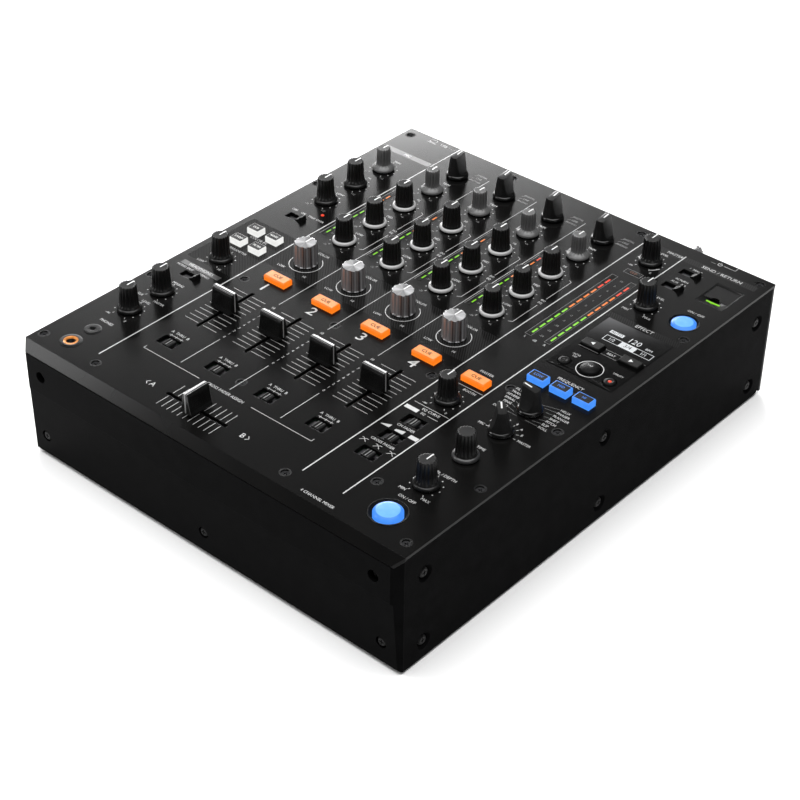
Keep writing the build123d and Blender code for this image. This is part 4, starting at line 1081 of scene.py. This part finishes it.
# crossfader
for k in range(11):
    x = CROSS_X - 22.7 + 4.54 * k
    line([(x, CROSS_Y + 1.9), (x, CROSS_Y + 12.0)], 0.36)
    line([(x, CROSS_Y - 12.2), (x, CROSS_Y - 1.9)], 0.36)
for name, x, tail, tip in (("A", CROSS_X - 38.8, -66.0, -67.8), ("B", CROSS_X + 39.0, 18.6, 20.4)):
    word(name, x, CROSS_Y, 3.8, squeeze=1.0)
    line([(tail, CROSS_Y - 1.9), (tip, CROSS_Y), (tail, CROSS_Y + 1.9)], 0.5)
word("CROSS FADER ASSIGN", -23.4, -144.2, 2.2)
line([(-96.0, -141.5), (-96.0, -144.2), (-46.0, -144.2)], 0.35)
line([(-1.0, -144.2), (49.0, -144.2), (49.0, -141.5)], 0.35)

# left column
line(rectangle(-137.0, -131.5, 180.5, 184.0), 0.4)
line([(-138.2, 179.4), (-130.3, 179.4)], 0.5)
line([(-119.5, 181.5), (-112.5, 181.5)], 0.3, dim)
for row, name in (("trim", "TRIM"), ("high", "HI"), ("mid", "LOW")):
    scale(MIC_X, ROW[row], (name, 1.4, 13.4, 2.0), ("-12", -7.7, -11.3, 1.6, dim),
          ("+12", 7.7, -11.3, 1.6, dim))
dots(*spot("color_parameter_knob"))
scale(*spot("headphones_mixing_knob"), ("MIXING", 1.8, 12.6, 2.0), ("CUE", -8.6, -11.6, 1.8),
      ("MASTER", 8.8, -11.6, 1.8))
scale(*spot("headphones_level_knob"), ("LEVEL", 1.8, 12.8, 2.0), ("-∞", -8.0, -11.6, 2.2),
      ("0", 8.0, -11.6, 1.9))
words(("USB", -124.0, 181.5, 2.4), ("MIC", MIC_X, 152.7, 2.4), ("OFF", MIC_X - 8.0, 42.0, 1.9),
      ("ON", MIC_X + 0.2, 42.0, 1.9), ("TALK OVER", MIC_X + 12.0, 42.0, 1.9), ("COLOR FX", -132.2, -4.4, 2.2),
      ("PARAMETER", -133.0, -23.6, 2.0), ("LOW", MIC_X - 9.0, -48.6, 1.8), ("HI", MIC_X + 8.6, -48.6, 1.8),
      ("HEADPHONES", MIC_X, -56.6, 2.4), ("MONO SPLIT", -145.0, -61.2, 1.8), ("STEREO", -127.0, -61.2, 1.8),
      ("PHONES", MIC_X, -141.0, 2.1))

# master column
x, y = spot("master_level_knob")
scale(x, y, ("LEVEL", 1.6, 13.6, 2.0), ("-∞", -8.0, -11.6, 2.2), ("0", 8.0, -11.6, 1.9))
ink.arc(x, y, 10.4, 0.7, -60, -18, *PRINT, 16)
scale(*spot("booth_level_knob"), ("-∞", -8.4, -11.4, 2.0), ("0", 8.2, -11.4, 1.8))
for edges in ((75.5, 88.5, 131.5, 136.5), (72.0, 76.8, 30.2, 123.8), (87.5, 91.8, 30.2, 123.8)):
    line(rectangle(*edges), 0.25, dim)
for k, mark in enumerate(("-24", "-15", "-10", "-5", "-3", "-1", "0", "1", "2", "4", "7", "10")):
    word(mark, 82.0, 34.5 + 7.8 * k, 1.6, dim)
for start, end, y in ((76.0, 95.0, -40.6), (68.0, 95.0, -72.8), (84.0, 92.0, -79.5)):
    line([(start, y), (end, y)], 0.3)
ink.block((66.5, -81.2, PRINT[0]), (76.5, -77.9, PRINT[1]))
words(("MASTER", 89.5, 172.0, 2.4), ("L", 74.4, 27.2, 1.9), ("dB", 82.0, 27.2, 1.9), ("R", 89.9, 27.2, 1.9),
      ("MASTER", 82.6, -21.2, 2.0), ("BOOTH", 87.0, -43.6, 1.9), ("EQ CURVE", 83.4, -75.6, 2.0),
      ("EQ", 80.5, -79.5, 1.8), ("CH FADER", 82.2, -97.2, 2.0), ("CROSS FADER", 81.6, -117.4, 2.0))
for x, rise in ((70.8, 0.4), (81.5, 1.7), (92.2, 3.2)):
    ink.prism([(x - 3.2, -103.4), (x + 3.2, -103.4), (x + 3.2, -100.0), (x - 3.2, -103.4 + rise)], *PRINT)
    for side in (-1, 1):
        line([(x + 2.4 * side, -123.4), (x - side, -120.4), (x - 2.4 * side, -120.4)], 0.35)

# right column
line([(112.5, 181.0), (116.0, 181.0)], 0.3, dim)
ink.arc(119.0, 182.0, 1.5, 0.4, -240, 60, *PRINT, 20)
line([(119.0, 182.2), (119.0, 184.2)], 0.4)
line([(122.0, 182.0), (131.0, 182.0), (131.0, 186.0)], 0.3)
scale(*spot("return_level_knob"), ("LEVEL", 1.6, 13.4, 2.0), ("MIN", -8.4, -11.4, 1.9),
      ("MAX", 8.6, -11.4, 1.9))
dots(*spot("effect_depth_knob"))
word("SEND / RETURN", 127.0, 172.0, 2.7, squeeze=1.05)
words(("1  MIX  2", 111.3, 164.6, 1.8), ("RETURN", 111.3, 148.2, 1.8), ("AUX   INS", 111.3, 144.2, 1.8),
      ("ON / OFF", 140.8, 121.4, 2.1), ("EFFECT", EFFECT_X, 84.0, 2.9),
      ("FREQUENCY", EFFECT_X + 1.0, 5.0, 2.4),
      ("TIME", EFFECT_X + 1.4, -82.4, 2.1), ("LEVEL / DEPTH", EFFECT_X + 1.4, -116.6, 2.1),
      ("MIN", EFFECT_X - 8.6, -141.4, 2.0), ("MAX", EFFECT_X + 8.8, -141.4, 2.0),
      ("ON / OFF", EFFECT_X, -147.2, 2.1), ("4 CHANNEL MIXER", 88.5, -181.2, 2.1))
selector_y = spot("effect_selector")[1]
for start, turn, side, column, align, names in (
        (250, -26, -1, 12.4, "RIGHT", ("DELAY", "ECHO", "PING", "SPIRAL", "REVERB", "TRANS", "FILTER")),
        (-70, 26, 1, 12.6, "LEFT", ("ROLL", "SLIP", "PITCH", "SHIFT", "FLANGER", "PHASER", "HELIX"))):
    for k, name in enumerate(names):
        angle = radians(start + turn * k)
        x, y = EFFECT_X + side * column, selector_y - 9.0 + 3.7 * k
        line([(EFFECT_X + 9.6 * cos(angle), selector_y + 9.6 * sin(angle)), (x, y)], 0.16, dim)
        word(name, x + side * 0.6, y, 1.9, align=align)
channel_y = spot("effect_channel_selector")[1]
for k, name in enumerate(("MIC", "1", "2", "3", "4", "A", "B", "MASTER")):
    angle = radians(182 - 26 * k)
    near_end, far_end, text_at = ((EFFECT_X + reach * cos(angle), channel_y + reach * sin(angle))
                                  for reach in (9.4, 11.2, 14.4 if len(name) > 1 else 12.9))
    line([near_end, far_end], 0.3)
    word(name, text_at[0] + (3.2 if name == "MASTER" else 0), text_at[1], 1.9)
place("panel_printing", ink.mesh("panel_printing", [INK]))
place("panel_printing_fine", dim.mesh("panel_printing_fine", [INK_DIM]))

bands = Shape()
for left, right, front, rear in ((-155.0, -113.0, 150.0, 155.5), (-152.0, -117.0, -59.0, -54.6)):
    bands.block((left, front, -0.05), (right, rear, 0.02))
place("panel_bands", bands.mesh("panel_bands", [BAND]))

# ---- printing and lit legend of the display sheet ----
OVER = (0.25, 0.33)               # bottom and top of the ink on the sheet
INVERSE = (0.25, 0.37)            # of dark letters on a lit field
LIT, DARK = 2, 3                  # materials
legend = Shape()
legend.arc(127.2, 25.2, 8.7, 0.55, 0, 360, *OVER, 72)
for left, right, y in ((121.8, 134.0, 49.6), (121.8, 134.0, 43.6), (105.5, 120.8, 42.4),
                        (135.4, 150.6, 51.6)):
    legend.bar((left, y), (right, y), 0.25, *OVER, 1)
for text, x, y, size, slot in (
        ("BEAT", 127.9, 46.6, 2.1, 0), ("AUTO", 111.6, 32.6, 1.6, 0), ("TAP", 111.6, 30.0, 1.6, 0),
        ("UTILITY", 144.4, 31.6, 1.7, 0), ("120", 131.0, 67.6, 5.2, LIT), ("AUTO", 116.8, 68.2, 2.4, DARK),
        ("BPM", 142.8, 66.4, 2.2, LIT), ("3/4", 130.5, 60.5, 3.4, DARK), ("1/2", 118.0, 60.5, 3.0, LIT),
        ("1/1", 142.6, 60.5, 3.0, LIT)):
    legend.letters(text, x, y, size, *(INVERSE if slot == DARK else OVER), slot)
for left, right, front, rear in ((111.6, 122.0, 66.6, 69.8), (124.6, 136.4, 57.6, 63.4)):
    legend.block((left, front, OVER[0]), (right, rear, OVER[1]), LIT)
outline = rectangle(112.6, 149.0, 57.6, 63.4)
for start, end in zip(outline, outline[1:]):
    legend.bar(start, end, 0.4, *OVER, LIT)
place("display_legend", legend.mesh("display_legend", [INK, INK_DIM, SCREEN, SLOT_EDGE]))


# ---- usb cover, power button, jack washers, painted shade round the screws ----
def usb_cover():
    """Cover plate with round corners, a finger notch and its hinge barrel."""
    low, high = box("usb_cover")
    middle = (low.x + high.x) / 2
    corner = 1.2
    outline = []
    for x, y, radius, start, turn, steps in (
            (high.x - corner, high.y - 2.2, corner, 0, 18, 6),
            (low.x + corner, high.y - 2.2, corner, 90, 18, 6),
            (low.x + corner, low.y + corner, corner, 180, 18, 6), (middle, low.y, 3.2, 180, -15, 13),
            (high.x - corner, low.y + corner, corner, 270, 18, 6)):
        for step in range(steps):
            angle = radians(start + turn * step)
            flat = 0.75 if radius > corner else 1.0
            outline.append((x + radius * cos(angle), y + radius * flat * sin(angle)))
    shape = Shape()
    shape.prism(outline, high.z - 1.5, high.z - 0.02)
    barrel = Matrix.Translation((middle, high.y - 0.85, -1.1)) @ Matrix.Rotation(pi / 2, 4, "Y")
    reach = (high.x - low.x) / 2
    for radius, end in ((0.84, reach - 1.6), (0.4452, reach)):
        circle = [(radius * cos(2 * pi * k / 24), radius * sin(2 * pi * k / 24)) for k in range(24)]
        shape.prism(circle, -end, end, 0, barrel)
    shape.block((low.x + 2.0, high.y - 3.2, high.z - 1.5), (high.x - 2.0, high.y - 0.9, high.z - 0.2))
    return shape.mesh("usb_cover_plate", [FLAP], 40.0)


def power_key():
    """Round button on the rear panel with a sunk face."""
    low, high = box("power_button")
    radius, length = (high.x - low.x) / 2, high.y - low.y
    shape = Shape()
    shape.turned([(0, -length, 0), (radius * 0.6, -length, 0), (radius * 0.6, -length + 4, 0),
                  (radius, -length + 4.5, 0), (radius, -0.8, 0), (radius - 0.3, -0.25, 0),
                  (radius - 0.9, 0, 0),
                  (radius - 1.8, -0.15, 1), (0, -0.5, 1)], 72)
    middle = Matrix.Translation(((low.x + high.x) / 2, high.y, (low.z + high.z) / 2))
    shape.bm.transform(middle @ Matrix.Rotation(-pi / 2, 4, "X"))
    return shape.mesh("power_key", [SOCKET_BLACK, KEY], 40.0)


place("usb_cover_plate", usb_cover(), "usb_cover", "button_black", bevel=0.2)
place("power_key", power_key(), "power_button", "button_black")

washers = Shape()
for (x, y), bore, reach in ((LARGE_JACK, 6.1, 7.5), (SMALL_JACK, 4.9, 5.9)):
    washers.turned([(bore, -0.05, 0), (reach, -0.05, 0), (reach, 0.15, 0), (reach - 0.35, 0.32, 0),
                    (bore, 0.32, 0)], 72, None, x, y)
place("jack_washers", washers.mesh("jack_washers", [KEY], 40.0))

# painted shade: dark flat rings round the panel screws, where their countersinks lie in shade
shade_rings = Shape()
for x, y, radius, _, _, top in solids("screws"):
    if top > -2 and radius < 5:
        shade_rings.arc(x, y, radius + 0.65, 1.1, 0, 360, -0.05, 0.02)
place("screw_shade_rings", shade_rings.mesh("screw_shade_rings", [SLOT_EDGE]))

# ---- rear labels, read from behind ----
back = Shape()
for text, x, z, size in (("PHONO", 84, -27.5, 2.4), ("POWER", 130, -31.5, 2.4), ("MIC", 4, -43.5, 2.4),
                         ("MASTER", -89, -43.5, 2.4), ("BOOTH", -31, -54.0, 2.2), ("RETURN", 75, -54.0, 2.2),
                         ("SEND", 39, -54.0, 2.2), ("USB", -136, -52.5, 2.2), ("AC IN", 130, -45.5, 2.2)):
    back.letters(text, -x, z, size, -0.05, 0.05)
upright = Matrix.Rotation(pi, 4, "Z") @ Matrix.Rotation(pi / 2, 4, "X")
back.bm.transform(Matrix.Translation((0, PANEL_DEPTH / 2, 0)) @ upright)
place("rear_printing", back.mesh("rear_printing", [INK]))

# ---- stage, lights and camera ----
paint = Nodes("pale_floor")
paint.put(color=paint.mix(paint.spread(paint.noise(1.5)), (0.86, 0.86, 0.86), (0.88, 0.88, 0.88)),
          rough=0.9, gloss=0.1)
floor_mesh = bpy.data.meshes.new("floor")
floor_mesh.from_pydata([(-6, -6, 0), (6, -6, 0), (6, 6, 0), (-6, 6, 0)], [], [(0, 1, 2, 3)])
floor_mesh.materials.append(paint.material)
floor = bpy.data.objects.new("floor", floor_mesh)
scene.collection.objects.link(floor)


def softbox(name, stand, aim, size, power):
    """A rectangular light in metres of the row frame, turned towards a point."""
    data = bpy.data.lights.new(name, "AREA")
    data.shape = "RECTANGLE"
    data.size, data.size_y = size
    data.energy = power
    light = bpy.data.objects.new(name, data)
    light.location = stand
    light.rotation_euler = (Vector(aim) - Vector(stand)).to_track_quat("-Z", "Y").to_euler()
    scene.collection.objects.link(light)


softbox("overhead", (0.1, -0.1, 2.4), (0.1, -0.1, 0), (2.6, 2.6), 115)
softbox("rear_left", (-1.22, 1.1, 0.60), (-0.1, 0.1, 0.09), (1.0, 0.40), 42)
softbox("rear_left_high", (-1.1, 1.15, 0.98), (-0.1, 0.1, 0.09), (1.3, 0.36), 2.2)
softbox("front_left", (-1.32, -1.0, 1.05), (-0.16, -0.19, 0.08), (0.4, 0.6), 12)
softbox("front_right", (1.3, -0.5, 0.8), (0, 0, 0.1), (0.5, 0.9), 2.5)

world = bpy.data.worlds.new("world")
scene.world = world
world.use_nodes = True
background = world.node_tree.nodes["Background"].inputs
background["Color"].default_value = (1, 1, 1, 1)
background["Strength"].default_value = 0.06
scene.view_settings.view_transform = "Standard"

camera_data = bpy.data.cameras.new("camera")
camera_data.lens = 89.06
camera_data.sensor_width = 36.0
camera_data.shift_x = 0.012
camera_data.shift_y = 0.0115
camera = bpy.data.objects.new("camera", camera_data)
camera.location = at(695.215, -813.566, 711.444)
camera.rotation_euler = (radians(53.5057), radians(-0.4977), radians(41.4906))
scene.collection.objects.link(camera)
scene.camera = camera
